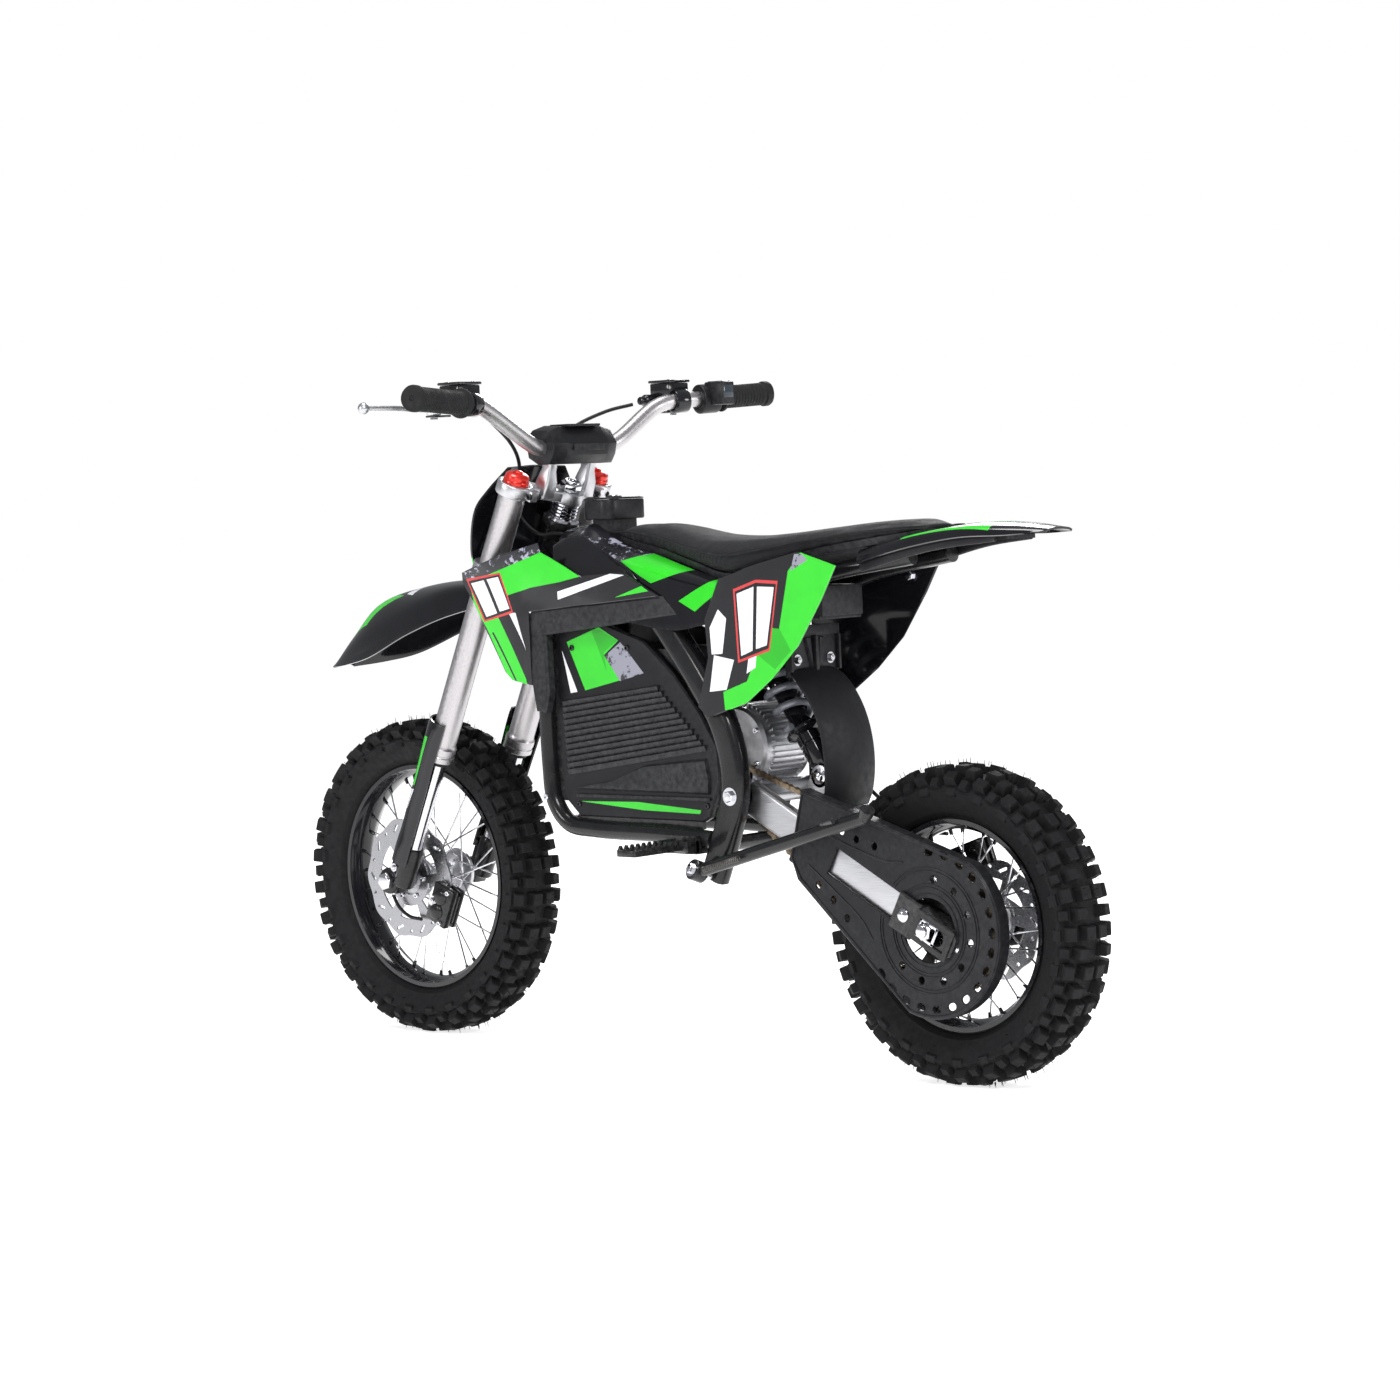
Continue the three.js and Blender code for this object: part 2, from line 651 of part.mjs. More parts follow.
function mainFrame() {
  const across = (x, z, half, radius) => rod(vec(x, -half, z), vec(x, half, z), radius, 8);
  const pieces = [headTube()];
  for (const side of [1, -1]) {
    pieces.push(frontLoop(side), seatRail(side), rearTube(side), ...pegBracket(side));
    pieces.push(beam(vec(-112, side * 20, 640), vec(-131, side * 20, 606), 24, 6));
  }
  pieces.push(
    across(PIVOT.x, PIVOT.z, 106, 6.5),
    across(-112, 628, 76, 10),
    across(-150, 300, 88, 10),
    across(120, 322, 84, 10),
    across(SHOCK_TOP.x, SHOCK_TOP.z, 26, 5),
    rod(STAND_PIVOT.clone().addScaledVector(STAND_AXIS, -30),
      STAND_PIVOT.clone().addScaledVector(STAND_AXIS, 14), 5),
    rod(STAND_PIVOT.clone().addScaledVector(STAND_AXIS, 10 + FIT),
      STAND_PIVOT.clone().addScaledVector(STAND_AXIS, 16), 9, 6),
  );
  return cut(join(...pieces), rod(fork(500, -STEM_SETBACK, 0), fork(620, -STEM_SETBACK, 0), 14));
}

// ---------------------------------------------------------------- battery, motor and drive

const BATTERY_OUTLINE = [
  [136, 592], [40, 594], [-30, 572], [-84, 526], [-130, 474], [-158, 430], [-160, 384], [-140, 336], [-128, 332],
  [102, 335], [128, 358],
];

function batteryCover(side) {
  const [y0, y1] = side > 0 ? [70, 82] : [-82, -70];
  const pieces = [plate(BATTERY_OUTLINE, y0, y1)];
  const RIBS = 8;
  for (let i = 0; i < RIBS; i++) {
    const f = i / (RIBS - 1);
    const front = vec(124, side * 83, 490 - 100 * f);
    const back = vec(-56 - 84 * f, side * 83, 508 - 82 * f);
    pieces.push(beam(front, back, 4, 6));
  }
  return join(...pieces);
}

function batteryPack() {
  return block(vec(-86, -66, 344), vec(100, 66, 560));
}

function motor() {
  const FINS = 10;
  const outline = [];
  for (let i = 0; i < FINS; i++) {
    for (const [step, r] of [[0, MOTOR_R], [0.45, MOTOR_R], [0.5, MOTOR_R - 5], [0.95, MOTOR_R - 5]]) {
      const a = (2 * Math.PI * (i + step)) / FINS;
      outline.push([MOTOR_CENTRE.x + r * Math.cos(a), MOTOR_CENTRE.z + r * Math.sin(a)]);
    }
  }
  const at = (y) => MOTOR_CENTRE.clone().setY(y);
  const shaft = (y) => DRIVE_SHAFT.clone().setY(y);
  const body = join(
    plate(outline, -44, 22),
    rod(at(-58), at(-44), MOTOR_R - 4, 20),
    rod(at(22), at(38), MOTOR_R - 4, 20),
    rod(shaft(14), shaft(40), 22, 14),
  );
  return cut(body, rod(shaft(22), shaft(44), 6 + FIT));
}

function sprocketDisc(centre, radius, y0, y1, bore) {
  return plate(circlePoints(centre.x, centre.z, radius, 28), y0, y1, [circlePoints(centre.x, centre.z, bore, 14)]);
}

function driveSprocket() {
  const at = (y) => DRIVE_SHAFT.clone().setY(y);
  return join(
    rod(at(24), at(60), 6, 12),
    rod(at(40 + FIT), at(58), 10, 16),
    rod(at(CHAIN_Y - 2), at(CHAIN_Y + 2), DRIVE_CHAIN_R - 3.6, 16),
  );
}

// The chain's two straight runs are the outer tangents of its two pitch circles.
function chainLoop(offset) {
  const [big, small] = [REAR_CHAIN_R + offset, DRIVE_CHAIN_R + offset];
  const line = DRIVE_SHAFT.clone().sub(REAR_AXLE);
  const heading = THREE.MathUtils.radToDeg(Math.atan2(line.z, line.x));
  const open = THREE.MathUtils.radToDeg(Math.acos((big - small) / line.length()));
  return [
    ...arcPoints(REAR_AXLE.x, REAR_AXLE.z, big, heading + open, heading + 360 - open, 20),
    ...arcPoints(DRIVE_SHAFT.x, DRIVE_SHAFT.z, small, heading - open, heading + open, 6),
  ];
}

function chain() {
  return plate(chainLoop(4), CHAIN_Y - 4, CHAIN_Y + 4, [chainLoop(-3)]);
}

// ---------------------------------------------------------------- swingarm

const CROSS_S = 70; // the cross tube's place along the beam
const BEAM_HALF = 22;

function swingarm() {
  const middleY = (BEAM_INNER_Y + BEAM_OUTER_Y) / 2;
  const width = BEAM_OUTER_Y - BEAM_INNER_Y;
  const pieces = [
    rod(arm(0, 0, -BEAM_OUTER_Y), arm(0, 0, BEAM_OUTER_Y), 15, 16),
    rod(arm(CROSS_S, 0, -BEAM_INNER_Y - 2), arm(CROSS_S, 0, BEAM_INNER_Y + 2), 12, 14),
  ];
  for (const side of [1, -1]) {
    pieces.push(beam(arm(4, 0, side * middleY), arm(304, 0, side * middleY), 2 * BEAM_HALF, width));
    pieces.push(beam(arm(292, 0, side * 70.5), arm(392, 0, side * 70.5), 40, 27));
    const tab = join(
      beam(arm(CROSS_S, 0, side * 21), SHOCK_BOTTOM.clone().setY(side * 21), 22, 5),
      rod(SHOCK_BOTTOM.clone().setY(side * 18.5), SHOCK_BOTTOM.clone().setY(side * 23.5), 13, 14),
    );
    pieces.push(tab);
  }
  pieces.push(rod(SHOCK_BOTTOM.clone().setY(-22), SHOCK_BOTTOM.clone().setY(22), 5, 12));
  return cut(
    join(...pieces),
    rod(arm(0, 0, -90), arm(0, 0, 90), 6.5 + FIT, 16),
    rod(arm(BEAM_LENGTH, 0, -90), arm(BEAM_LENGTH, 0, 90), AXLE_R + FIT, 16),
  );
}

const COVER_R = 113;
const COVER_FACE = [75, 79];

function coverOutline(inset) {
  const at = (s, n) => {
    const p = arm(s, n, 0);
    return [p.x, p.z];
  };
  const heading = THREE.MathUtils.radToDeg(Math.atan2(-BEAM.z, -BEAM.x));
  const r = COVER_R - inset;
  return [
    at(88 + inset, 58 - inset),
    ...arcPoints(REAR_AXLE.x, REAR_AXLE.z, r, heading + 102, heading + 262, 18),
    at(132 + inset, -52 + inset),
    at(108 + inset, -30),
  ];
}

function chainCover() {
  const [y0, y1] = COVER_FACE;
  const face = plate(coverOutline(0), y0, y1);
  const lip = plate(coverOutline(0), 59, y0 + 1, [coverOutline(3.5)]);
  const middle = (BEAM_INNER_Y + BEAM_OUTER_Y) / 2;
  const body = join(face, lip);
  return cut(
    body,
    beam(arm(40, 0, middle), arm(170, 0, middle), 2 * BEAM_HALF + 3, 22),
    beam(arm(150, 0, 70), arm(350, 0, 70), 46, 40),
    rod(REAR_AXLE.clone().setY(60), REAR_AXLE.clone().setY(90), 41, 24),
    beam(arm(340, 0, 70), arm(395, 0, 70), 42, 40),
  );
}

function caliper(centre, y0, y1, discY0, discY1, length, height, tilt) {
  const box = new THREE.BoxGeometry(length, y1 - y0, height);
  const barrel = new THREE.CylinderGeometry(height * 0.42, height * 0.42, y1 - y0 + 8, 14);
  const slot = new THREE.BoxGeometry(length * 2, discY1 - discY0 + 2.4, height * 1.3);
  slot.translate(0, (discY0 + discY1) / 2 - (y0 + y1) / 2, -height * 0.35);
  const body = cut(join(box, barrel), slot);
  return body.rotateY(tilt).translate(centre.x, (y0 + y1) / 2, centre.z);
}

const FRONT_DISC_Y = [HUB_FACE_Y + 0.3, HUB_FACE_Y + 3.3];
const REAR_DISC_Y = [-HUB_FACE_Y - 3.3, -HUB_FACE_Y - 0.3];
const SPROCKET_Y = [CHAIN_Y - 1.5, CHAIN_Y + 1.5];

// ---------------------------------------------------------------- shock absorber

const SHOCK_AXIS = SHOCK_TOP.clone().sub(SHOCK_BOTTOM).normalize();
const shockAt = (distance) => SHOCK_BOTTOM.clone().addScaledVector(SHOCK_AXIS, distance);
const SHOCK_LENGTH = SHOCK_TOP.distanceTo(SHOCK_BOTTOM);

function shockBody() {
  const y = 13;
  const eye = rod(SHOCK_TOP.clone().setY(-y), SHOCK_TOP.clone().setY(y), 13, 16);
  const profile = [[0, 130], [8, 130], [8, 226], [27, 228], [27, 234], [14, 238], [12, SHOCK_LENGTH - 6], [0, SHOCK_LENGTH - 6]];
  const cylinder = turned(profile, SHOCK_BOTTOM, SHOCK_AXIS);
  return cut(join(eye, cylinder), rod(SHOCK_TOP.clone().setY(-30), SHOCK_TOP.clone().setY(30), 5 + FIT, 14));
}

function shockRod() {
  const eye = rod(SHOCK_BOTTOM.clone().setY(-13), SHOCK_BOTTOM.clone().setY(13), 13, 16);
  const bore = 8 + FIT;
  const profile = [
    [0, 6], [12, 8], [17, 22], [17, 64], [27, 68], [27, 74], [13, 78], [13, 190], [bore, 190], [bore, 92], [0, 92],
  ];
  const reservoir = turned(profile, SHOCK_BOTTOM, SHOCK_AXIS);
  return cut(join(eye, reservoir), rod(SHOCK_BOTTOM.clone().setY(-30), SHOCK_BOTTOM.clone().setY(30), 8.5, 14));
}

function shockSpring() {
  const TURNS = 6.5;
  const STEPS = 44;
  const sideways = vec(0, 1, 0);
  const forward = sideways.clone().cross(SHOCK_AXIS);
  const points = [];
  for (let i = 0; i <= STEPS; i++) {
    const a = (2 * Math.PI * TURNS * i) / STEPS;
    const height = 80 + (222 - 80) * (i / STEPS);
    points.push(shockAt(height).addScaledVector(sideways, 22 * Math.cos(a)).addScaledVector(forward, 22 * Math.sin(a)));
  }
  return tube(points, 4, STEPS, 4);
}

// ---------------------------------------------------------------- bodywork

function shroud(side) {
  const columns = [
    [[256, 138, 681], [178, 106, 505]],
    [[200, 130, 697], [168, 102, 476]],
    [[135, 115, 708], [152, 101.5, 500]],
    [[92, 108, 672], [146, 103, 604]],
    [[0, 105, 650], [44, 104, 597]],
    [[-76, 103, 641], [-70, 103, 612]],
  ];
  const rows = [0, 0.33, 0.66, 1].map((f) =>
    columns.map(([top, bottom]) => {
      const bulge = 6 * Math.sin(Math.PI * f);
      const mix = (k) => top[k] + (bottom[k] - top[k]) * f;
      return vec(mix(0), side * (mix(1) + bulge), mix(2));
    }),
  );
  return panel(rows, side * 3);
}

function tankCover() {
  const rows = saddleRows([
    [142, [[0, 722], [30, 721], [50, 714], [63, 690], [70, 662]]],
    [100, [[0, 728], [36, 724], [60, 706], [78, 680], [90, 640]]],
    [50, [[0, 700], [36, 702], [66, 692], [86, 664], [96, 608]]],
    [-30, [[0, 682], [52, 684], [78, 676], [92, 650], [98, 596]]],
    [-110, [[0, 661], [66, 663], [84, 657], [94, 636], [99, 586]]],
    [-185, [[0, 640], [78, 645], [90, 640], [96, 622], [99, 598]]],
  ]);
  return panel(rows, 3);
}

function switchBox() {
  const outline = rectangleShape(56, 80, 10);
  const body = new THREE.ExtrudeGeometry(outline, { depth: 29, bevelEnabled: false }).translate(90, 0, 735);
  return cut(body, rod(vec(90, 0, 758.6), vec(90, 0, 770), 7.6, 16));
}

function powerButton() {
  return rod(vec(90, 0, 761), vec(90, 0, 768), 7, 16);
}

const SIDE_OUTLINE = [
  [-196, 655], [-262, 672], [-335, 687], [-398, 668], [-372, 625], [-330, 566], [-284, 524], [-238, 492],
  [-168, 471], [-151, 486], [-172, 551], [-168, 601],
];

function sidePlate(side) {
  const [y0, y1] = side > 0 ? [104, 108] : [-108, -104];
  return plate(SIDE_OUTLINE, y0, y1);
}

function seat() {
  const stations = [
    [58, 30, 721, 712], [20, 42, 727, 704], [-40, 54, 720, 693], [-113, 70, 706, 675], [-185, 84, 703, 659],
    [-260, 86, 706, 672], [-335, 84, 712, 688], [-413, 70, 718, 699], [-470, 54, 719, 706], [-492, 40, 716, 710],
  ];
  const rings = stations.map(([x, half, top, bottom]) => {
    const mid = bottom + (top - bottom) * 0.55;
    return [
      [-half, bottom], [-half, mid], [-0.8 * half, top - 4], [-0.35 * half, top], [0.35 * half, top],
      [0.8 * half, top - 4], [half, mid], [half, bottom],
    ].map(([y, z]) => vec(x, y, z));
  });
  return loft(rings);
}

function rearFender() {
  const rows = saddleRows([
    [-400, [[0, 685], [40, 685], [60, 682], [66, 668]]],
    [-450, [[0, 695], [42, 695], [63, 692], [69, 680]]],
    [-500, [[0, 705], [40, 704], [58, 702], [65, 690]]],
    [-560, [[0, 713], [34, 712], [52, 707], [57, 698]]],
    [-620, [[0, 711], [26, 710], [42, 705], [45, 699]]],
    [-672, [[0, 705], [12, 704.5], [22, 703], [26, 701]]],
  ]);
  return panel(rows, 3);
}

function mudGuard() {
  const rows = [[-262, 586, 40], [-268, 530, 46], [-294, 502, 50], [-317, 455, 50], [-323, 410, 50], [-320, 372, 48]].map(
    ([x, z, half]) => [-1, -0.5, 0, 0.5, 1].map((f) => vec(x + 8 * f * f, f * half, z)),
  );
  const clip = block(vec(-268, -36, 548), vec(-246, 36, 574));
  return join(panel(rows, -3), clip);
}

function controller() {
  return block(vec(-318, -42, 596), vec(-252, 42, 642));
}

// ---------------------------------------------------------------- stand, pegs and hoses

function sideStand() {
  const a = STAND_AXIS;
  const leg = tube([
    STAND_PIVOT.clone().add(vec(-10, 0, 2)), STAND_PIVOT.clone().lerp(STAND_TIP, 0.3),
    STAND_PIVOT.clone().lerp(STAND_TIP, 0.7), STAND_TIP.clone(),
  ], 9, 3, 8);
  const eye = rod(STAND_PIVOT.clone().addScaledVector(a, -9), STAND_PIVOT.clone().addScaledVector(a, 10), 14, 12);
  const foot = rod(STAND_TIP.clone(), STAND_TIP.clone().add(vec(-9, 4, 12)), 9, 8, 13);
  const bore = rod(STAND_PIVOT.clone().addScaledVector(a, -20), STAND_PIVOT.clone().addScaledVector(a, 20), 5 + FIT);
  return cut(join(leg, eye, foot), bore);
}

function footpeg(side) {
  const p = PEG_PIVOT;
  const pieces = [
    rod(vec(p.x - 23, side * p.y, p.z), vec(p.x + 23, side * p.y, p.z), 7, 12),
    side > 0
      ? block(vec(p.x - 17, p.y, p.z - 4), vec(p.x + 17, 212, p.z + 5))
      : block(vec(p.x - 17, -212, p.z - 4), vec(p.x + 17, -p.y, p.z + 5)),
  ];
  const TEETH = 4;
  for (let i = 0; i < TEETH; i++) {
    const y = side * (132 + i * 22);
    for (const x of [p.x - 14.5, p.x + 14.5]) {
      pieces.push(block(vec(x - 2.5, y - 3.5, p.z + 4), vec(x + 2.5, y + 3.5, p.z + 10)));
    }
  }
  return cut(join(...pieces), rod(vec(p.x - 30, side * p.y, p.z), vec(p.x + 30, side * p.y, p.z), 3 + FIT, 10));
}

const HOSE_R = 2.6;

function frontHose() {
  const points = [
    vec(192, -152, 895), vec(214, -118, 886), vec(238, -70, 862), fork(650, 31, -16), fork(600, 31, 20),
    fork(540, 31, 48), fork(470, 30, 64), fork(400, 28, 70), fork(300, 26, 68), fork(250, 23, 62), fork(110, 22, 60),
    fork(50, 40, 60), fork(-10, 44, 60), fork(-40, 20, 60), fork(-46, -10, 60), fork(-38, -36, 60),
  ];
  return tube(points, HOSE_R, 34, 4);
}

function rearHose() {
  const points = [
    vec(192, 152, 895), vec(214, 120, 884), fork(680, 26, 84), fork(640, 31, 46), fork(600, 31, 36),
    fork(575, 8, 42), fork(566, -34, 40), vec(176, 30, 718), vec(148, 12, 711), vec(110, 0, 692), vec(50, 0, 664),
    vec(-20, -20, 640), vec(-90, -46, 596), vec(-150, -62, 560), vec(-212, -68, 500), vec(-240, -68, 440),
    vec(-262, -66, 398), vec(-330, -66, 342), vec(-400, -64, 314), vec(-430, -58, 312),
  ];
  return tube(points, HOSE_R, 38, 4);
}

// ---------------------------------------------------------------- assembly

const bike = new THREE.Group();
bike.name = "electric_dirt_bike";

function add(name, geometry, material) {
  const mesh = new THREE.Mesh(geometry, material);
  mesh.name = name;
  bike.add(mesh);
}

const SIDES = [["left", 1], ["right", -1]];

add("main_frame", mainFrame(), BLACK_PAINT);
add("battery_pack", batteryPack(), BLACK_PLASTIC);
add("motor", motor(), SILVER);
add("controller", controller(), BLACK_PLASTIC);
add("tank_cover", tankCover(), GLOSS_BLACK);
add("switch_box", switchBox(), BLACK_PLASTIC);
add("power_button", powerButton(), CHROME);
add("seat", seat(), SEAT_FABRIC);
add("rear_fender", rearFender(), GREEN_PLASTIC);
add("mud_guard", mudGuard(), BLACK_PLASTIC);
add("rear_brake_hose", rearHose(), RUBBER);
for (const [name, side] of SIDES) {
  add(`battery_cover_${name}`, batteryCover(side), BLACK_PLASTIC);
  add(`shroud_${name}`, shroud(side), GREEN_PLASTIC);
  add(`side_plate_${name}`, sidePlate(side), GREEN_PLASTIC);
  add(`footpeg_${name}`, footpeg(side), BLACK_PAINT);
  add(`fork_tube_${name}`, forkTube(side * LEG_Y), SATIN);
  add(`fork_leg_${name}`, forkLeg(side), CHROME);
  add(`fork_guard_${name}`, forkGuard(side), BLACK_PLASTIC);
  add(`brake_master_${name}`, brakeMaster(side), BLACK_PAINT);
  add(`brake_lever_${name}`, brakeLever(side), SILVER);
}
add("side_stand", sideStand(), BLACK_PAINT);

add("lower_clamp", lowerClamp(), SILVER);
add("upper_clamp", upperClamp(), SILVER);
add("handlebar", handlebar(), SATIN);
add("bar_pad", barPad(), BLACK_PLASTIC);
add("grip_left", gripSleeve(1, 230, 352, 16), RUBBER);
add("throttle_grip", gripSleeve(-1, 274, 352, 16), RUBBER);
add("throttle_housing", throttleHousing(), BLACK_PLASTIC);
add("number_plate", numberPlate(), GLOSS_BLACK);
add("front_fender", frontFender(), GLOSS_BLACK);
add("front_brake_hose", frontHose(), RUBBER);

add("front_axle", frontAxle(), STEEL);
add("front_caliper", caliper(fork(0, -64, 0), 38, 63, ...FRONT_DISC_Y, 58, 40, RAKE - Math.PI * 0.777), BLACK_PAINT);
add("front_tyre", tyre(FRONT_AXLE, FRONT_TYRE_R, FRONT_LIP_R, FRONT_TYRE_HALF), RUBBER);
add("front_rim", rim(FRONT_AXLE, FRONT_LIP_R), BLACK_PAINT);
add("front_hub", hub(FRONT_AXLE, FRONT_LIP_R), SILVER);
add("front_disc", brakeDisc(FRONT_AXLE, 88, ...FRONT_DISC_Y), STEEL);

add("swingarm", swingarm(), SILVER);
add("chain_cover", chainCover(), BLACK_PLASTIC);
add("rear_axle", rearAxle(), STEEL);
add("rear_caliper", caliper(arm(288, 58, 0), -60, -38, ...REAR_DISC_Y, 58, 36, 0.34), BLACK_PAINT);
add("chain", chain(), STEEL);
add("rear_tyre", tyre(REAR_AXLE, REAR_TYRE_R, REAR_LIP_R, REAR_TYRE_HALF), RUBBER);
add("rear_rim", rim(REAR_AXLE, REAR_LIP_R), BLACK_PAINT);
add("rear_hub", hub(REAR_AXLE, REAR_LIP_R), SILVER);
add("rear_sprocket", sprocketDisc(REAR_AXLE, REAR_CHAIN_R - 3.6, ...SPROCKET_Y, 24), STEEL);
add("rear_disc", brakeDisc(REAR_AXLE, 80, ...REAR_DISC_Y), STEEL);
add("drive_sprocket", driveSprocket(), STEEL);
add("shock_body", shockBody(), BLACK_PAINT);
add("shock_rod", shockRod(), BLACK_PAINT);
add("shock_spring", shockSpring(), SPRING_GREY);

export default bike;
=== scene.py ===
import math
import random

import bmesh
import bpy
from mathutils import Matrix, Vector
from mathutils.geometry import delaunay_2d_cdt


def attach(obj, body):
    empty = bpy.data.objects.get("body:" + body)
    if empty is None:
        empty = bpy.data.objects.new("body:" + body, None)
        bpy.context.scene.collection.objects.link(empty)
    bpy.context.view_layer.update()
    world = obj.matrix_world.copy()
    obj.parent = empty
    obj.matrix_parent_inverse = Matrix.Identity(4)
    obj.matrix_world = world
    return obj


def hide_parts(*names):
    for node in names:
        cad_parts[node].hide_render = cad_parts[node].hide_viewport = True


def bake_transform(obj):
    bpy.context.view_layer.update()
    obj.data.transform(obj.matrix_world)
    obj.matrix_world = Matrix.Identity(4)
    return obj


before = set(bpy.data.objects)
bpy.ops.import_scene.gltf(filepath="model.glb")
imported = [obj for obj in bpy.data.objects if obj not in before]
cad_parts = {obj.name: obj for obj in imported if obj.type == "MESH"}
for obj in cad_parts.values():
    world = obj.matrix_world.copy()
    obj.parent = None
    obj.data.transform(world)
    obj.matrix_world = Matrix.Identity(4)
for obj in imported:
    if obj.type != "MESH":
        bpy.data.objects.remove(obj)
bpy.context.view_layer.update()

# A child-size electric dirt bike. Shapes are written in millimetres in the CAD's own frame
# (+X forward, +Y to the rider's left, +Z up, origin on the ground) and scaled to metres at the end.

scene = bpy.context.scene
MM = 0.001


def V(x, y, z):
    return Vector((x, y, z))


FRONT_TYRE_R = 227
REAR_TYRE_R = 205
FRONT_LIP_R = 162
REAR_LIP_R = 136.5
FRONT_AXLE = V(484, 0, 227)
REAR_AXLE = V(-506, 0, 205)
RAKE = math.radians(25)
AXLE_LEAD = 18
STEM_SETBACK = 30
LEG_Y = 78
FORK_TUBE_R = 19
STANCHION_R = 12.5
BAR_R = 11
PIVOT = V(-196, 0, 368)
DRIVE_SHAFT = V(-160, 0, 390)
MOTOR_CENTRE = V(-152, 0, 428)
MOTOR_R = 57
CHAIN_Y = 51
CHAIN_R = 86
CHAIN_PITCH = 10
REAR_TEETH = 54
DRIVE_TEETH = 12
DRIVE_CHAIN_R = CHAIN_R * DRIVE_TEETH / REAR_TEETH
SHOCK_TOP = V(-129, 0, 610)
SHOCK_BOTTOM = V(-285, 0, 390)
LOOP_Y = 82
REAR_TUBE_Y = 88
HUB_FACE_Y = 47.6
FRONT_DISC_Y = (HUB_FACE_Y + 0.3, HUB_FACE_Y + 3.3)
REAR_DISC_Y = (-HUB_FACE_Y - 3.3, -HUB_FACE_Y - 0.3)
FRONT_SPOKES = 32
REAR_SPOKES = 28
STAND_PIVOT = V(-150, 119, 270)
STAND_AXIS = V(0.185, 0.909, 0.372).normalized()
STAND_TIP = V(-453, 132, 352)
PEG_PIVOT = V(-108, 114, 300)
LEVER_PIVOT = V(192, 236, 892)
SIDES = (("left", 1), ("right", -1))

ALONG = V(-math.sin(RAKE), 0, math.cos(RAKE))
AHEAD = V(math.cos(RAKE), 0, math.sin(RAKE))
LEG_FOOT = FRONT_AXLE - AHEAD * AXLE_LEAD
BEAM = (REAR_AXLE - PIVOT).normalized()
BEAM_UP = V(BEAM.z, 0, -BEAM.x)
ACROSS = V(0, 1, 0)
UP = V(0, 0, 1)


def fork(t, ahead, y):
    """A point at t along the fork, ahead of the legs' line, and y across."""
    p = LEG_FOOT + ALONG * t + AHEAD * ahead
    return V(p.x, y, p.z)


def arm(s, n, y):
    """A point at s along the swingarm's beam, n above it, and y across."""
    p = PIVOT + BEAM * s + BEAM_UP * n
    return V(p.x, y, p.z)


def arm_xz(s, n):
    """The (x, z) of a point in the swingarm's own frame, for an outline."""
    p = arm(s, n, 0)
    return (p.x, p.z)


def at_y(point, y):
    return V(point.x, y, point.z)


# ---------------------------------------------------------------- camera, light and floor

CAMERA_TARGET = V(-0.0560, 0, 0.4866)
CAMERA_DISTANCE = 5.0232
CAMERA_AZIMUTH = math.radians(222.779)
CAMERA_ELEVATION = math.radians(3.31)
CAMERA_ROLL = math.radians(-2.303)
CAMERA_LENS = 95.45
ROOM_LIGHT = 0.34
FLOOR_GLOW = 0.74
FLOOR_HALF = 30


def make_camera():
    a, e, r = CAMERA_AZIMUTH, CAMERA_ELEVATION, CAMERA_ROLL
    back = V(math.sin(a) * math.cos(e), -math.cos(a) * math.cos(e), math.sin(e))
    right = UP.cross(back).normalized()
    up = back.cross(right)
    rolled_right = right * math.cos(r) + up * math.sin(r)
    rolled_up = up * math.cos(r) - right * math.sin(r)
    camera = bpy.data.objects.new("camera", bpy.data.cameras.new("camera"))
    camera.data.lens = CAMERA_LENS
    camera.data.sensor_width = 36
    camera.matrix_world = Matrix.Translation(CAMERA_TARGET + back * CAMERA_DISTANCE) @ Matrix(
        (rolled_right, rolled_up, back)
    ).transposed().to_4x4()
    scene.collection.objects.link(camera)
    scene.camera = camera


def make_light(name, position, size, energy, target=(0, 0, 0.45)):
    lamp = bpy.data.lights.new(name, "AREA")
    lamp.shape = "DISK"
    lamp.size = size
    lamp.energy = energy
    obj = bpy.data.objects.new(name, lamp)
    obj.location = position
    obj.rotation_euler = (Vector(target) - Vector(position)).to_track_quat("-Z", "Y").to_euler()
    scene.collection.objects.link(obj)


def make_studio():
    world = bpy.data.worlds.new("studio")
    world.use_nodes = True
    tree = world.node_tree
    backdrop = tree.nodes["Background"]
    backdrop.inputs["Color"].default_value = (1, 1, 1, 1)
    backdrop.inputs["Strength"].default_value = 1
    room = tree.nodes.new("ShaderNodeBackground")
    room.inputs["Color"].default_value = (0.94, 0.96, 1, 1)
    room.inputs["Strength"].default_value = ROOM_LIGHT
    seen = tree.nodes.new("ShaderNodeLightPath")
    choice = tree.nodes.new("ShaderNodeMixShader")
    tree.links.new(seen.outputs["Is Camera Ray"], choice.inputs[0])
    tree.links.new(room.outputs[0], choice.inputs[1])
    tree.links.new(backdrop.outputs[0], choice.inputs[2])
    tree.links.new(choice.outputs[0], tree.nodes["World Output"].inputs["Surface"])
    scene.world = world
    scene.view_settings.view_transform = "Standard"
    make_light("key", (-2.6, 2.4, 3.2), 1.3, 85)
    make_light("side", (-3.4, -1.6, 1.4), 1.0, 30)
    make_light("front", (1.4, 3.6, 1.6), 1.0, 36)
    make_light("top", (0.2, 0.2, 4.2), 1.6, 80)
    make_light("right", (1.8, -3.2, 2.4), 1.2, 45)
    floor = bpy.data.meshes.new("floor")
    corners = [(x * FLOOR_HALF, y * FLOOR_HALF, 0) for x, y in ((-1, -1), (1, -1), (1, 1), (-1, 1))]
    floor.from_pydata(corners, [], [(0, 1, 2, 3)])
    ground = bpy.data.objects.new("floor", floor)
    scene.collection.objects.link(ground)
    material, shader = new_material("floor_paint", (0.86, 0.86, 0.86), 0.9, 0)
    shader.inputs["Emission Color"].default_value = (1, 1, 1, 1)
    shader.inputs["Emission Strength"].default_value = FLOOR_GLOW
    floor.materials.append(material)


# ---------------------------------------------------------------- materials


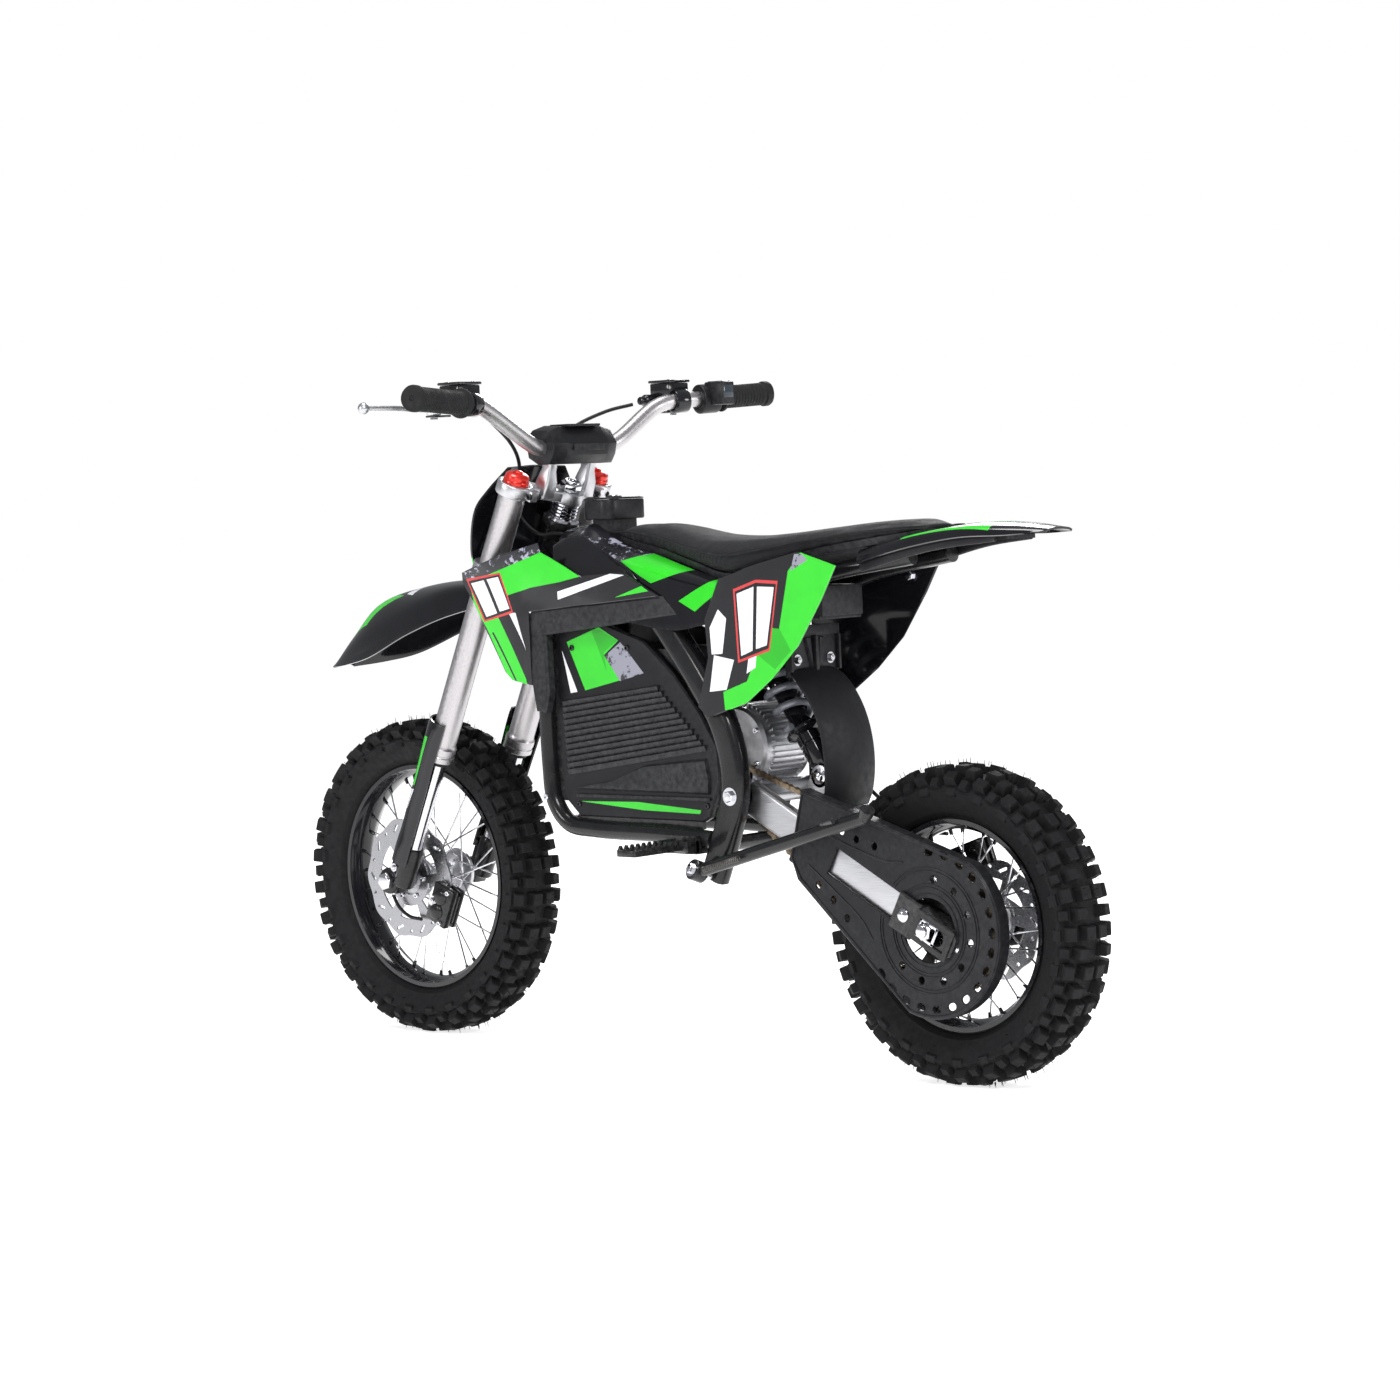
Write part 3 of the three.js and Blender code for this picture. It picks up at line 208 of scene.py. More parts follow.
def new_material(name, colour, roughness, metallic):
    material = bpy.data.materials.new(name)
    material.use_nodes = True
    shader = material.node_tree.nodes["Principled BSDF"]
    shader.inputs["Base Color"].default_value = (*colour, 1)
    shader.inputs["Roughness"].default_value = roughness
    shader.inputs["Metallic"].default_value = metallic
    return material, shader


class Nodes:
    """Short names for the shader nodes that the materials below share."""

    def __init__(self, material, shader):
        self.tree = material.node_tree
        self.shader = shader
        self.coordinates = self.add("ShaderNodeTexCoord").outputs["Object"]

    def add(self, kind):
        return self.tree.nodes.new(kind)

    def link(self, output, socket):
        self.tree.links.new(output, socket)

    def stretched(self, scale):
        mapping = self.add("ShaderNodeMapping")
        mapping.inputs["Scale"].default_value = scale
        self.link(self.coordinates, mapping.inputs["Vector"])
        return mapping.outputs["Vector"]

    def noise(self, scale, detail=3, vector=None, roughness=0.5):
        node = self.add("ShaderNodeTexNoise")
        node.inputs["Scale"].default_value = scale
        node.inputs["Detail"].default_value = detail
        node.inputs["Roughness"].default_value = roughness
        self.link(vector or self.coordinates, node.inputs["Vector"])
        return node.outputs["Fac"]

    def wave(self, scale, direction, distortion=0):
        node = self.add("ShaderNodeTexWave")
        node.bands_direction = direction
        node.inputs["Scale"].default_value = scale
        node.inputs["Distortion"].default_value = distortion
        self.link(self.coordinates, node.inputs["Vector"])
        return node.outputs["Fac"]

    def ranged(self, value, low, high, start=0.3, stop=0.7):
        node = self.add("ShaderNodeMapRange")
        node.inputs["From Min"].default_value = start
        node.inputs["From Max"].default_value = stop
        node.inputs["To Min"].default_value = low
        node.inputs["To Max"].default_value = high
        self.link(value, node.inputs["Value"])
        return node.outputs["Result"]

    def mixed(self, factor, dark, light):
        node = self.add("ShaderNodeMix")
        node.data_type = "RGBA"
        self.link(factor, node.inputs["Factor"])
        for socket, colour in ((6, dark), (7, light)):
            if isinstance(colour, tuple):
                node.inputs[socket].default_value = (*colour, 1)
            else:
                self.link(colour, node.inputs[socket])
        return node.outputs[2]

    def times(self, a, b):
        node = self.add("ShaderNodeMath")
        node.operation = "MULTIPLY"
        self.link(a, node.inputs[0])
        self.link(b, node.inputs[1])
        return node.outputs[0]

    def bump(self, height, strength, distance):
        node = self.add("ShaderNodeBump")
        node.inputs["Strength"].default_value = strength
        node.inputs["Distance"].default_value = distance
        self.link(height, node.inputs["Height"])
        self.link(node.outputs["Normal"], self.shader.inputs["Normal"])


def shade(colour, factor):
    return tuple(c * factor for c in colour)


DULL = 0.22


def surface(name, colour, roughness, metallic=0.0, grain=900, bump=0.15, mottle=0.18, wear=0.0, coat=0.0):
    """Painted, moulded or cast: mottled colour, uneven gloss, fine grain and paler edges."""
    material, shader = new_material(name, colour, roughness, metallic)
    n = Nodes(material, shader)
    tint = n.mixed(n.ranged(n.noise(28), 0, 1), shade(colour, 1 - mottle), shade(colour, 1 + mottle))
    if wear:
        edge = n.ranged(n.add("ShaderNodeNewGeometry").outputs["Pointiness"], 0, wear, 0.52, 0.6)
        worn = n.times(edge, n.ranged(n.noise(160, 4), 0, 1))
        pale = tuple(min(1, c * 2.5 + 0.12) for c in colour)
        tint = n.mixed(worn, tint, pale)
    n.link(tint, shader.inputs["Base Color"])
    n.link(
        n.ranged(n.noise(90, 4), max(0.02, roughness * 0.8), min(1, roughness * 1.2)),
        shader.inputs["Roughness"],
    )
    n.bump(n.noise(grain, 4), bump, 0.0004)
    shader.inputs["Specular IOR Level"].default_value = 0.5 if metallic > 0.5 else DULL
    shader.inputs["Coat Weight"].default_value = coat
    shader.inputs["Coat Roughness"].default_value = 0.06
    return material


def brushed(name, colour, roughness, scale, strength=0.12):
    """Drawn or turned metal: fine lines along one direction."""
    material, shader = new_material(name, colour, roughness, 1.0)
    n = Nodes(material, shader)
    lines = n.noise(1, 5, n.stretched(scale))
    n.link(
        n.mixed(n.ranged(lines, 0, 1), shade(colour, 0.86), shade(colour, 1.1)),
        shader.inputs["Base Color"],
    )
    n.link(n.ranged(lines, roughness * 0.75, roughness * 1.25), shader.inputs["Roughness"])
    n.bump(lines, strength, 0.0003)
    return material


def splattered(name, base, spot, scale, threshold):
    """Printed film with torn, speckled spots of a paler ink."""
    material, shader = new_material(name, base, 0.18, 0)
    n = Nodes(material, shader)
    torn = n.ranged(n.noise(scale, 9, roughness=0.75), 0, 1, threshold, threshold + 0.015)
    n.link(n.mixed(torn, base, spot), shader.inputs["Base Color"])
    n.link(n.ranged(n.noise(70), 0.14, 0.24), shader.inputs["Roughness"])
    n.bump(n.noise(500), 0.05, 0.0003)
    shader.inputs["Coat Weight"].default_value = 0.4
    return material


def upholstery(name, colour):
    """Vinyl with a pressed weave, in two crossing directions."""
    material, shader = new_material(name, colour, 0.62, 0)
    n = Nodes(material, shader)
    weave = n.times(n.wave(190, "X", 0.6), n.wave(190, "Y", 0.6))
    n.link(n.mixed(weave, shade(colour, 0.75), shade(colour, 1.4)), shader.inputs["Base Color"])
    n.link(n.ranged(n.noise(60), 0.55, 0.7), shader.inputs["Roughness"])
    n.bump(weave, 0.45, 0.0006)
    shader.inputs["Specular IOR Level"].default_value = DULL
    shader.inputs["Sheen Weight"].default_value = 0.08
    shader.inputs["Sheen Roughness"].default_value = 0.4
    return material


def tyre_rubber(name):
    """Matte rubber with dust in the hollows."""
    material, shader = new_material(name, (0.013, 0.013, 0.014), 0.72, 0)
    n = Nodes(material, shader)
    hollow = n.ranged(n.add("ShaderNodeNewGeometry").outputs["Pointiness"], 1, 0, 0.42, 0.5)
    dusty = n.times(hollow, n.ranged(n.noise(40, 5), 0, 0.5))
    n.link(n.mixed(dusty, (0.008, 0.008, 0.009), (0.03, 0.029, 0.028)), shader.inputs["Base Color"])
    n.link(n.ranged(n.noise(120), 0.6, 0.82), shader.inputs["Roughness"])
    n.bump(n.noise(700, 5), 0.3, 0.0005)
    shader.inputs["Specular IOR Level"].default_value = DULL
    return material


GREEN = (0.03, 0.6, 0.02)
BLACK = (0.007, 0.007, 0.009)

MATERIALS = {
    "frame_paint": surface("frame_paint", (0.008, 0.008, 0.009), 0.3, 0.1, 1200, 0.08, 0.2, 0.25, 0.35),
    "moulded": surface("moulded", (0.009, 0.009, 0.011), 0.36, 0, 1700, 0.16, 0.2, 0.2),
    "matte": surface("matte", (0.012, 0.012, 0.014), 0.5, 0, 1500, 0.16, 0.08, 0.2),
    "gloss_black": surface("gloss_black", BLACK, 0.12, 0, 260, 0.04, 0.15, 0.1, 0.45),
    "green": surface("green", GREEN, 0.2, 0, 300, 0.05, 0.06, 0, 0.6),
    "deep_green": surface("deep_green", (0.015, 0.42, 0.01), 0.2, 0, 300, 0.05, 0.06, 0, 0.6),
    "white": surface("white", (0.8, 0.8, 0.84), 0.22, 0, 300, 0.05, 0.04, 0, 0.5),
    "grey_film": surface("grey_film", (0.26, 0.26, 0.31), 0.25, 0, 300, 0.05, 0.1, 0, 0.4),
    "red_film": surface("red_film", (0.6, 0.05, 0.05), 0.25, 0, 300, 0.05, 0.1, 0, 0.4),
    "splatter": splattered("splatter", (0.018, 0.018, 0.022), (0.4, 0.4, 0.5), 42, 0.55),
    "torn_grey": splattered("torn_grey", (0.018, 0.018, 0.02), (0.27, 0.27, 0.33), 46, 0.44),
    "cast": surface("cast", (0.52, 0.52, 0.54), 0.36, 0.95, 800, 0.3, 0.08, 0.3),
    "satin_tube": brushed("satin_tube", (0.52, 0.5, 0.51), 0.38, (260, 900, 260), 0.06),
    "beam": brushed("beam", (0.5, 0.5, 0.52), 0.36, (40, 700, 700), 0.08),
    "chrome": surface("chrome", (0.66, 0.66, 0.69), 0.1, 1, 300, 0.04, 0.04),
    "steel": brushed("steel", (0.5, 0.5, 0.52), 0.3, (700, 90, 700), 0.1),
    "dark_steel": surface("dark_steel", (0.09, 0.085, 0.08), 0.38, 0.9, 900, 0.2, 0.25, 0.3),
    "chain_steel": surface("chain_steel", (0.2, 0.15, 0.1), 0.36, 0.9, 900, 0.2, 0.3, 0.3),
    "red": surface("red", (0.75, 0.03, 0.02), 0.24, 0.5, 400, 0.06, 0.1, 0.1, 0.4),
    "rubber": surface("rubber", (0.014, 0.014, 0.015), 0.66, 0, 1400, 0.3, 0.2),
    "hose": surface("hose", (0.012, 0.012, 0.013), 0.4, 0, 1400, 0.2, 0.2),
    "spring": surface("spring", (0.24, 0.25, 0.28), 0.3, 0.3, 900, 0.12, 0.12, 0.2, 0.3),
    "seat_vinyl": upholstery("seat_vinyl", (0.012, 0.012, 0.014)),
    "tyre": tyre_rubber("tyre"),
    "disc_steel": brushed("disc_steel", (0.4, 0.4, 0.42), 0.3, (500, 60, 500), 0.08),
    "screen": surface("screen", (0.03, 0.04, 0.05), 0.1, 0, 300, 0.03, 0.1, 0, 0.8),
}

# ---------------------------------------------------------------- shapes: (points, faces) in millimetres


def smooth_path(points, steps):
    """steps + 1 points on a centripetal curve through the given points."""
    ends = [points[0] * 2 - points[1], *points, points[-1] * 2 - points[-2]]
    spans = len(points) - 1
    path = []
    for k in range(steps + 1):
        place = k / steps * spans
        i = min(int(place), spans - 1)
        p = ends[i : i + 4]
        t = [0.0]
        for a, b in zip(p, p[1:]):
            t.append(t[-1] + max((b - a).length, 1e-6) ** 0.5)
        x = t[1] + (t[2] - t[1]) * (place - i)
        first = [p[j].lerp(p[j + 1], (x - t[j]) / (t[j + 1] - t[j])) for j in range(3)]
        second = [first[j].lerp(first[j + 1], (x - t[j]) / (t[j + 2] - t[j])) for j in range(2)]
        path.append(second[0].lerp(second[1], (x - t[1]) / (t[2] - t[1])))
    return path


def loft(rings, closed=False):
    n = len(rings[0])
    points = [p for ring in rings for p in ring]
    faces = []
    for r in range(len(rings) if closed else len(rings) - 1):
        s = (r + 1) % len(rings)
        for i in range(n):
            j = (i + 1) % n
            faces.append((r * n + i, r * n + j, s * n + j, s * n + i))
    if not closed:
        last = (len(rings) - 1) * n
        faces.append(tuple(reversed(range(n))))
        faces.append(tuple(range(last, last + n)))
    return points, faces


def basis(direction):
    w = direction.normalized()
    u = w.orthogonal().normalized()
    return u, w.cross(u), w


def ring(centre, direction, radius, sides, start=0.0):
    u, v, _ = basis(direction)
    step = 2 * math.pi / sides
    return [
        centre + (u * math.cos(start + i * step) + v * math.sin(start + i * step)) * radius
        for i in range(sides)
    ]


def rod(a, b, radius, sides=32, end_radius=None):
    end_radius = radius if end_radius is None else end_radius
    return loft([ring(a, b - a, radius, sides), ring(b, b - a, end_radius, sides)])


def turned(profile, base, direction, sides=48):
    """Turns [radius, height] points about an axis. A profile that ends where it starts is a closed ring."""
    w = direction.normalized()
    closed = profile[0] == profile[-1]
    places = profile[:-1] if closed else profile
    return loft([ring(base + w * h, w, max(r, 0.001), sides) for r, h in places], closed)


def sweep(path, section, side=ACROSS):
    """Carries a section of (a, b) points along a path; a runs along side, as nearly as it can."""
    rings = []
    for i, p in enumerate(path):
        tangent = (path[min(i + 1, len(path) - 1)] - path[max(i - 1, 0)]).normalized()
        a = (side - tangent * side.dot(tangent)).normalized()
        b = tangent.cross(a)
        rings.append([p + a * s + b * t for s, t in section])
        side = a
    return loft(rings)


def round_section(radius, sides=20):
    return [
        (radius * math.cos(2 * math.pi * i / sides), radius * math.sin(2 * math.pi * i / sides))
        for i in range(sides)
    ]


def box_section(width, height, corner, arcs=4):
    points = []
    for cx, cy, start in ((1, 1, 0), (-1, 1, 90), (-1, -1, 180), (1, -1, 270)):
        for k in range(arcs + 1):
            a = math.radians(start + 90 * k / arcs)
            x = cx * (width / 2 - corner) + corner * math.cos(a)
            y = cy * (height / 2 - corner) + corner * math.sin(a)
            points.append((x, y))
    return points


def tube(points, radius, steps=60, sides=20, side=ACROSS):
    return sweep(smooth_path(points, steps), round_section(radius, sides), side)


def block(low, high):
    corners = [(low.x, low.y), (high.x, low.y), (high.x, high.y), (low.x, high.y)]
    return loft([[V(x, y, z) for x, y in corners] for z in (low.z, high.z)])


def side_block(side, x, y, z):
    """A block on one side of the bike, from pairs of limits; y is given as on the left side."""
    y0, y1 = sorted((side * y[0], side * y[1]))
    return block(V(x[0], y0, z[0]), V(x[1], y1, z[1]))


def beam(a, b, height, width):
    """A box from a to b, with its width across the bike."""
    along = (b - a).normalized()
    over = along.cross(ACROSS).normalized() * height / 2
    aside = ACROSS * width / 2
    return loft([[p + over + aside, p - over + aside, p - over - aside, p + over - aside] for p in (a, b)])


def hexagon(centre, direction, radius, height):
    w = direction.normalized()
    rings = [(radius, 0), (radius, height * 0.8), (radius * 0.86, height)]
    return loft([ring(centre + w * h, w, r, 6) for r, h in rings])


def bolt(centre, direction, radius=6, height=5):
    """A hex bolt head on its washer, with a dimple in the top."""
    w = direction.normalized()
    washer = turned([[0, 0], [radius * 1.5, 0], [radius * 1.5, 1.2], [0, 1.2]], centre, w, 32)
    head = hexagon(centre + w * 1.2, w, radius, height)
    rim = turned(
        [[0, 0], [radius * 0.5, 0], [radius * 0.5, 0.7], [0, 0.9]], centre + w * (height + 1.1), w, 24,
    )
    return [washer, head, rim]


def socket_bolt(centre, direction, radius=5, height=4):
    w = direction.normalized()
    profile = [
        [radius, 0], [radius, height * 0.7], [radius * 0.8, height], [radius * 0.5, height],
        [radius * 0.5, height * 0.4], [0, height * 0.4],
    ]
    return turned([[0, 0], *profile], centre, w, 24)


def grid(rows, down, across):
    """Rows of points refined to a smooth grid."""
    columns = [
        smooth_path(list(column), down) for column in zip(*[smooth_path(row, across) for row in rows])
    ]
    return [list(row) for row in zip(*columns)]


def sheet(rows, thickness):
    """A thin closed panel; the rows are its outer face."""
    m, n = len(rows), len(rows[0])
    inner = []
    for i in range(m):
        for j in range(n):
            along = rows[min(i + 1, m - 1)][j] - rows[max(i - 1, 0)][j]
            across = rows[i][min(j + 1, n - 1)] - rows[i][max(j - 1, 0)]
            inner.append(rows[i][j] + along.cross(across).normalized() * thickness)
    k = m * n
    faces = []
    for i in range(m - 1):
        for j in range(n - 1):
            a = i * n + j
            faces += [(a, a + 1, a + n + 1, a + n), (k + a, k + a + n, k + a + n + 1, k + a + 1)]
    for j in range(n - 1):
        b = (m - 1) * n + j
        faces += [(j, k + j, k + j + 1, j + 1), (b, b + 1, k + b + 1, k + b)]
    for i in range(m - 1):
        a = i * n
        b = a + n - 1
        faces += [(a, a + n, k + a + n, k + a), (b, k + b, k + b + n, b + n)]
    return [p for row in rows for p in row] + inner, faces


def finer(loop, spacing):
    """A closed outline with its long edges divided."""
    result = []
    for (x0, z0), (x1, z1) in zip(loop, loop[1:] + loop[:1]):
        count = max(1, round(math.hypot(x1 - x0, z1 - z0) / spacing))
        result += [(x0 + (x1 - x0) * k / count, z0 + (z1 - z0) * k / count) for k in range(count)]
    return result


def shrunk(loop, inward):
    """A closed outline with its edges moved inwards."""
    area = sum(x0 * z1 - x1 * z0 for (x0, z0), (x1, z1) in zip(loop, loop[1:] + loop[:1]))
    turn = 1 if area > 0 else -1
    result = []
    for i, (x, z) in enumerate(loop):
        x0, z0 = loop[i - 1]
        x2, z2 = loop[(i + 1) % len(loop)]
        before = Vector((x - x0, z - z0)).normalized()
        after = Vector((x2 - x, z2 - z)).normalized()
        aside = Vector((-(before.y + after.y), before.x + after.x)) * turn
        stretch = inward / max(0.35, aside.length_squared / 2)
        result.append((x + aside.x * stretch, z + aside.y * stretch))
    return result


def fill(loops, extra=()):
    """Triangles between an outline and its holes: 2-D points and faces."""
    points, edges = [], []
    for loop in loops:
        start = len(points)
        points += [Vector(p) for p in loop]
        edges += [(start + i, start + (i + 1) % len(loop)) for i in range(len(loop))]
    points += [Vector(p) for p in extra]
    found, _, faces, *_ = delaunay_2d_cdt(points, edges, [], 0, 1e-4)
    kept = []
    for face in faces:
        x = sum(found[i].x for i in face) / len(face)
        z = sum(found[i].y for i in face) / len(face)
        if inside(loops[0], x, z) and not any(inside(hole, x, z) for hole in loops[1:]):
            kept.append(tuple(face))
    return found, kept


def joined(parts):
    points, faces = [], []
    for more_points, more_faces in parts:
        start = len(points)
        points += more_points
        faces += [tuple(start + i for i in face) for face in more_faces]
    return points, faces


def wall(rings):
    """The skin between closed rings, left open at both ends."""
    points, faces = loft(rings)
    return points, faces[:-2]


def plate(outline, y0, y1, holes=(), edge=0.6):
    """A flat plate across the bike from an outline of (x, z) points, with holes and eased edges."""
    loops = [(list(outline), edge), *[(list(hole), -edge) for hole in holes]]
    small = [shrunk(loop, inward) for loop, inward in loops]
    flat, faces = fill(small)
    parts = [([V(p.x, y, p.y) for p in flat], faces) for y in (y0, y1)]
    for (loop, _), inner in zip(loops, small):
        steps = [(inner, y0), (loop, y0 + edge), (loop, y1 - edge), (inner, y1)]
        parts.append(wall([[V(x, y, z) for x, z in corners] for corners, y in steps]))
    return joined(parts)


def panel(outline, depth, thickness, side, spacing=9):
    """A curved sheet over an outline; depth gives the outer face's distance from the middle plane."""
    loop = finer(outline, spacing)
    small = shrunk(loop, 1)
    xs, zs = [x for x, _ in loop], [z for _, z in loop]
    margin = shrunk(loop, spacing * 0.45)
    extra = []
    for i in range(int(min(xs) // spacing), int(max(xs) // spacing) + 1):
        for k in range(int(min(zs) // spacing), int(max(zs) // spacing) + 1):
            if inside(margin, i * spacing, k * spacing):
                extra.append((i * spacing, k * spacing))
    flat, faces = fill([small], extra)
    parts = []
    for inward in (0, thickness):
        parts.append(([V(p.x, side * (depth(p.x, p.y) - inward), p.y) for p in flat], faces))
    steps = [(small, 0), (loop, 0.8), (loop, thickness - 0.8), (small, thickness)]
    parts.append(wall([
        [V(x, side * (depth(x, z) - inward), z) for x, z in ring_] for ring_, inward in steps
    ]))
    return joined(parts)


def arc(cx, cz, radius, start, stop, count):
    angles = [math.radians(start + (stop - start) * i / count) for i in range(count + 1)]
    return [(cx + radius * math.cos(a), cz + radius * math.sin(a)) for a in angles]


def circle(cx, cz, radius, count=40):
    return arc(cx, cz, radius, 0, 360, count)[:-1]


def moved(shape, matrix):
    points, faces = shape
    return [matrix @ p for p in points], faces


# ---------------------------------------------------------------- pieces

WELD_DISTANCE = 0.004
CUT_DISTANCE = 0.02
FACING_OUT = 0.12


def built(shape):
    """One shape as a clean mesh with its faces turned outwards."""
    points, faces = shape
    bm = bmesh.new()
    corners = [bm.verts.new(p) for p in points]
    for face in faces:
        try:
            bm.faces.new([corners[i] for i in face])
        except ValueError:
            continue
    bmesh.ops.remove_doubles(bm, verts=bm.verts, dist=WELD_DISTANCE)
    bmesh.ops.dissolve_degenerate(bm, edges=bm.edges, dist=WELD_DISTANCE)
    loose = [v for v in bm.verts if not v.link_faces]
    bmesh.ops.delete(bm, geom=loose, context="VERTS")
    bmesh.ops.recalc_face_normals(bm, faces=bm.faces)
    return bm


def eased(bm, width, angle=math.radians(40)):
    edges = [e for e in bm.edges if len(e.link_faces) == 2 and e.calc_face_angle(0) > angle]
    bmesh.ops.bevel(
        bm, geom=edges, offset=width, segments=2, profile=0.5, affect="EDGES", clamp_overlap=True,
    )


def inside(polygon, x, y):
    result = False
    for (x0, y0), (x1, y1) in zip(polygon, polygon[1:] + polygon[:1]):
        if (y0 > y) != (y1 > y) and x < (x1 - x0) * (y - y0) / (y1 - y0) + x0:
            result = not result
    return result


def print_film(bm, polygon, index, plane):
    """Cuts the faces along a polygon's edges, seen along one axis. Those inside it that face outwards take
    the material, and inner faces and edges keep theirs."""
    i, j = plane
    for (x0, y0), (x1, y1) in zip(polygon, polygon[1:] + polygon[:1]):
        low = (min(x0, x1) - 1, min(y0, y1) - 1)
        high = (max(x0, x1) + 1, max(y0, y1) + 1)
        near = []
        for face in bm.faces:
            xs = [v.co[i] for v in face.verts]
            ys = [v.co[j] for v in face.verts]
            if max(xs) > low[0] and min(xs) < high[0] and max(ys) > low[1] and min(ys) < high[1]:
                near.append(face)
        start, normal = V(0, 0, 0), V(0, 0, 0)
        start[i], start[j] = x0, y0
        normal[i], normal[j] = y1 - y0, x0 - x1
        geometry = near + list({
            e for f in near for e in f.edges
        }) + list({v for f in near for v in f.verts})
        bmesh.ops.bisect_plane(bm, geom=geometry, dist=CUT_DISTANCE, plane_co=start, plane_no=normal)
    k = 3 - i - j
    bm.normal_update()
    for face in bm.faces:
        centre = face.calc_center_median()
        outward = face.normal[k] * (math.copysign(1, centre[k]) if k == 1 else 1)
        if outward > FACING_OUT and inside(polygon, centre[i], centre[j]):
            face.material_index = index


def piece(name, body, material, shapes, ease=0.0, sharp=35, films=(), plane=(0, 2)):
    """Makes one named piece from several shapes and rides it on its body. A piece that has a CAD node's
    name stands for that node."""
    label = name + "_skin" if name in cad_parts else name
    mesh = bpy.data.meshes.new(label)
    whole = bmesh.new()
    for shape in shapes:
        bm = built(shape)
        if ease:
            eased(bm, ease)
        bm.to_mesh(mesh)
        bm.free()
        whole.from_mesh(mesh)
    names = [material]
    for film, polygon in films:
        if film not in names:
            names.append(film)
        print_film(whole, polygon, names.index(film), plane)
    for v in whole.verts:
        v.co *= MM
    whole.to_mesh(mesh)
    whole.free()
    for polygon in mesh.polygons:
        polygon.use_smooth = True
    mesh.set_sharp_from_angle(angle=math.radians(sharp))
    for film in names:
        mesh.materials.append(MATERIALS[film])
    obj = bpy.data.objects.new(label, mesh)
    scene.collection.objects.link(obj)
    if body:
        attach(obj, body)
    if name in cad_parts:
        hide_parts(name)
    return obj


# ---------------------------------------------------------------- wheels


def about_axle(axle, angle, radius, y):
    return V(axle.x + radius * math.cos(angle), y, axle.z + radius * math.sin(angle))


def knob(axle, angle, base, height, y, lean, length, width):
    """A tyre knob: a block that narrows outwards, leaning out from the middle by an angle."""
    radial = V(math.cos(angle), 0, math.sin(angle))
    along = V(-math.sin(angle), 0, math.cos(angle))
    out = radial * math.cos(lean) + ACROSS * math.sin(lean)
    aside = ACROSS * math.cos(lean) - radial * math.sin(lean)
    foot = axle + radial * base + ACROSS * y
    rings = []
    for h, scale in ((-3, 1.12), (height - 1.2, 1.0), (height, 0.88)):
        centre = foot + out * h
        a, b = along * length / 2 * scale, aside * width / 2 * scale
        rings.append([centre + a + b, centre - a + b, centre - a - b, centre + a - b])
    return loft(rings)


def whisker(axle, angle, base, y, length):
    radial = V(math.cos(angle), 0, math.sin(angle))
    foot = axle + radial * base + ACROSS * y
    return rod(foot, foot + radial * length + ACROSS * (y * 0.03), 0.55, 5, 0.3)


def make_tyre(name, body, axle, radius, lip, half, pitches, rng):
    h = radius - lip
    base = radius - 12
    side = [
        (lip - 6, 14), (lip - 6, 19.4), (lip + 2, 20), (lip + 4, 25), (lip + 9, 30), (lip + 11, 30.5),
        (lip + 0.3 * h, half * 0.86),
        (lip + 0.5 * h, half * 0.95), (lip + 0.54 * h, half * 0.985), (lip + 0.58 * h, half * 0.95),
        (base - 14, half * 0.88),
        (base - 4, half * 0.62), (base, half * 0.25),
    ]
    mirrored = [(r, -y) for r, y in reversed(side)]
    hollow = [
        (base - 8, -half * 0.25), (lip + 0.4 * h, -half + 10), (lip + 0.4 * h, half - 10),
        (base - 8, half * 0.25),
    ]
    profile = [*side, *mirrored, hollow[1], hollow[0], hollow[3], hollow[2]]
    shapes = [turned([*profile, profile[0]], axle, ACROSS, 120)]
    pitch = 2 * math.pi / pitches
    for i in range(pitches):
        a = i * pitch
        for y in (-1, 1):
            if i % 2:
                shapes.append(knob(axle, a, base, 12, y * 11, math.radians(4) * y, 17, 17))
                shapes.append(knob(axle, a, base - 7, 12, y * 33, math.radians(38) * y, 17, 13))
                shapes.append(knob(
                    axle, a + pitch * 0.1, base - 21, 6, y * (half * 0.86), math.radians(72) * y, 15, 11,
                ))
            else:
                shapes.append(knob(axle, a, base - 1, 12.5, y * 22, math.radians(14) * y, 14, 15))
                shapes.append(knob(axle, a, base - 12, 9, y * 36.5, math.radians(52) * y, 12, 12))
            for k in range(3):
                place = a + pitch * rng.random()
                shapes.append(whisker(
                    axle, place, radius - 1 - 8 * (k == 2), y * (4 + 12 * k), 6 + 3 * rng.random(),
                ))
    for y in (-1, 1):
        for i in range(8):
            foot = about_axle(axle, i * math.pi / 4 + 0.2, lip + 0.3 * h, y * half * 0.83)
            shapes.append(rod(foot, foot + ACROSS * y * 6, 0.5, 5, 0.3))
    return piece(name, body, "tyre", shapes, sharp=30)


def make_rim(name, body, axle, lip, spokes):
    half = [(lip, 24), (lip - 0.6, 21.5), (lip - 6.5, 20), (lip - 8, 12), (lip - 11, 8)]
    inner = [(lip - 14.6, 6), (lip - 13, 12), (lip - 9, 18), (lip - 6, 24)]
    flip = [(r, -y) for r, y in reversed(half)]
    inner_flip = [(r, -y) for r, y in reversed(inner)]
    profile = [*half, *flip, *inner_flip, *inner]
    shapes = [turned([*profile, profile[0]], axle, ACROSS, 120)]
    for i in range(spokes):
        a = 2 * math.pi * i / spokes
        side = 1 if i % 2 else -1
        foot = about_axle(axle, a, lip - 12, side * 4)
        shapes.append(rod(foot, about_axle(axle, a, lip - 21, side * 5), 3, 12, 2.2))
    return piece(name, body, "gloss_black", shapes, sharp=30)


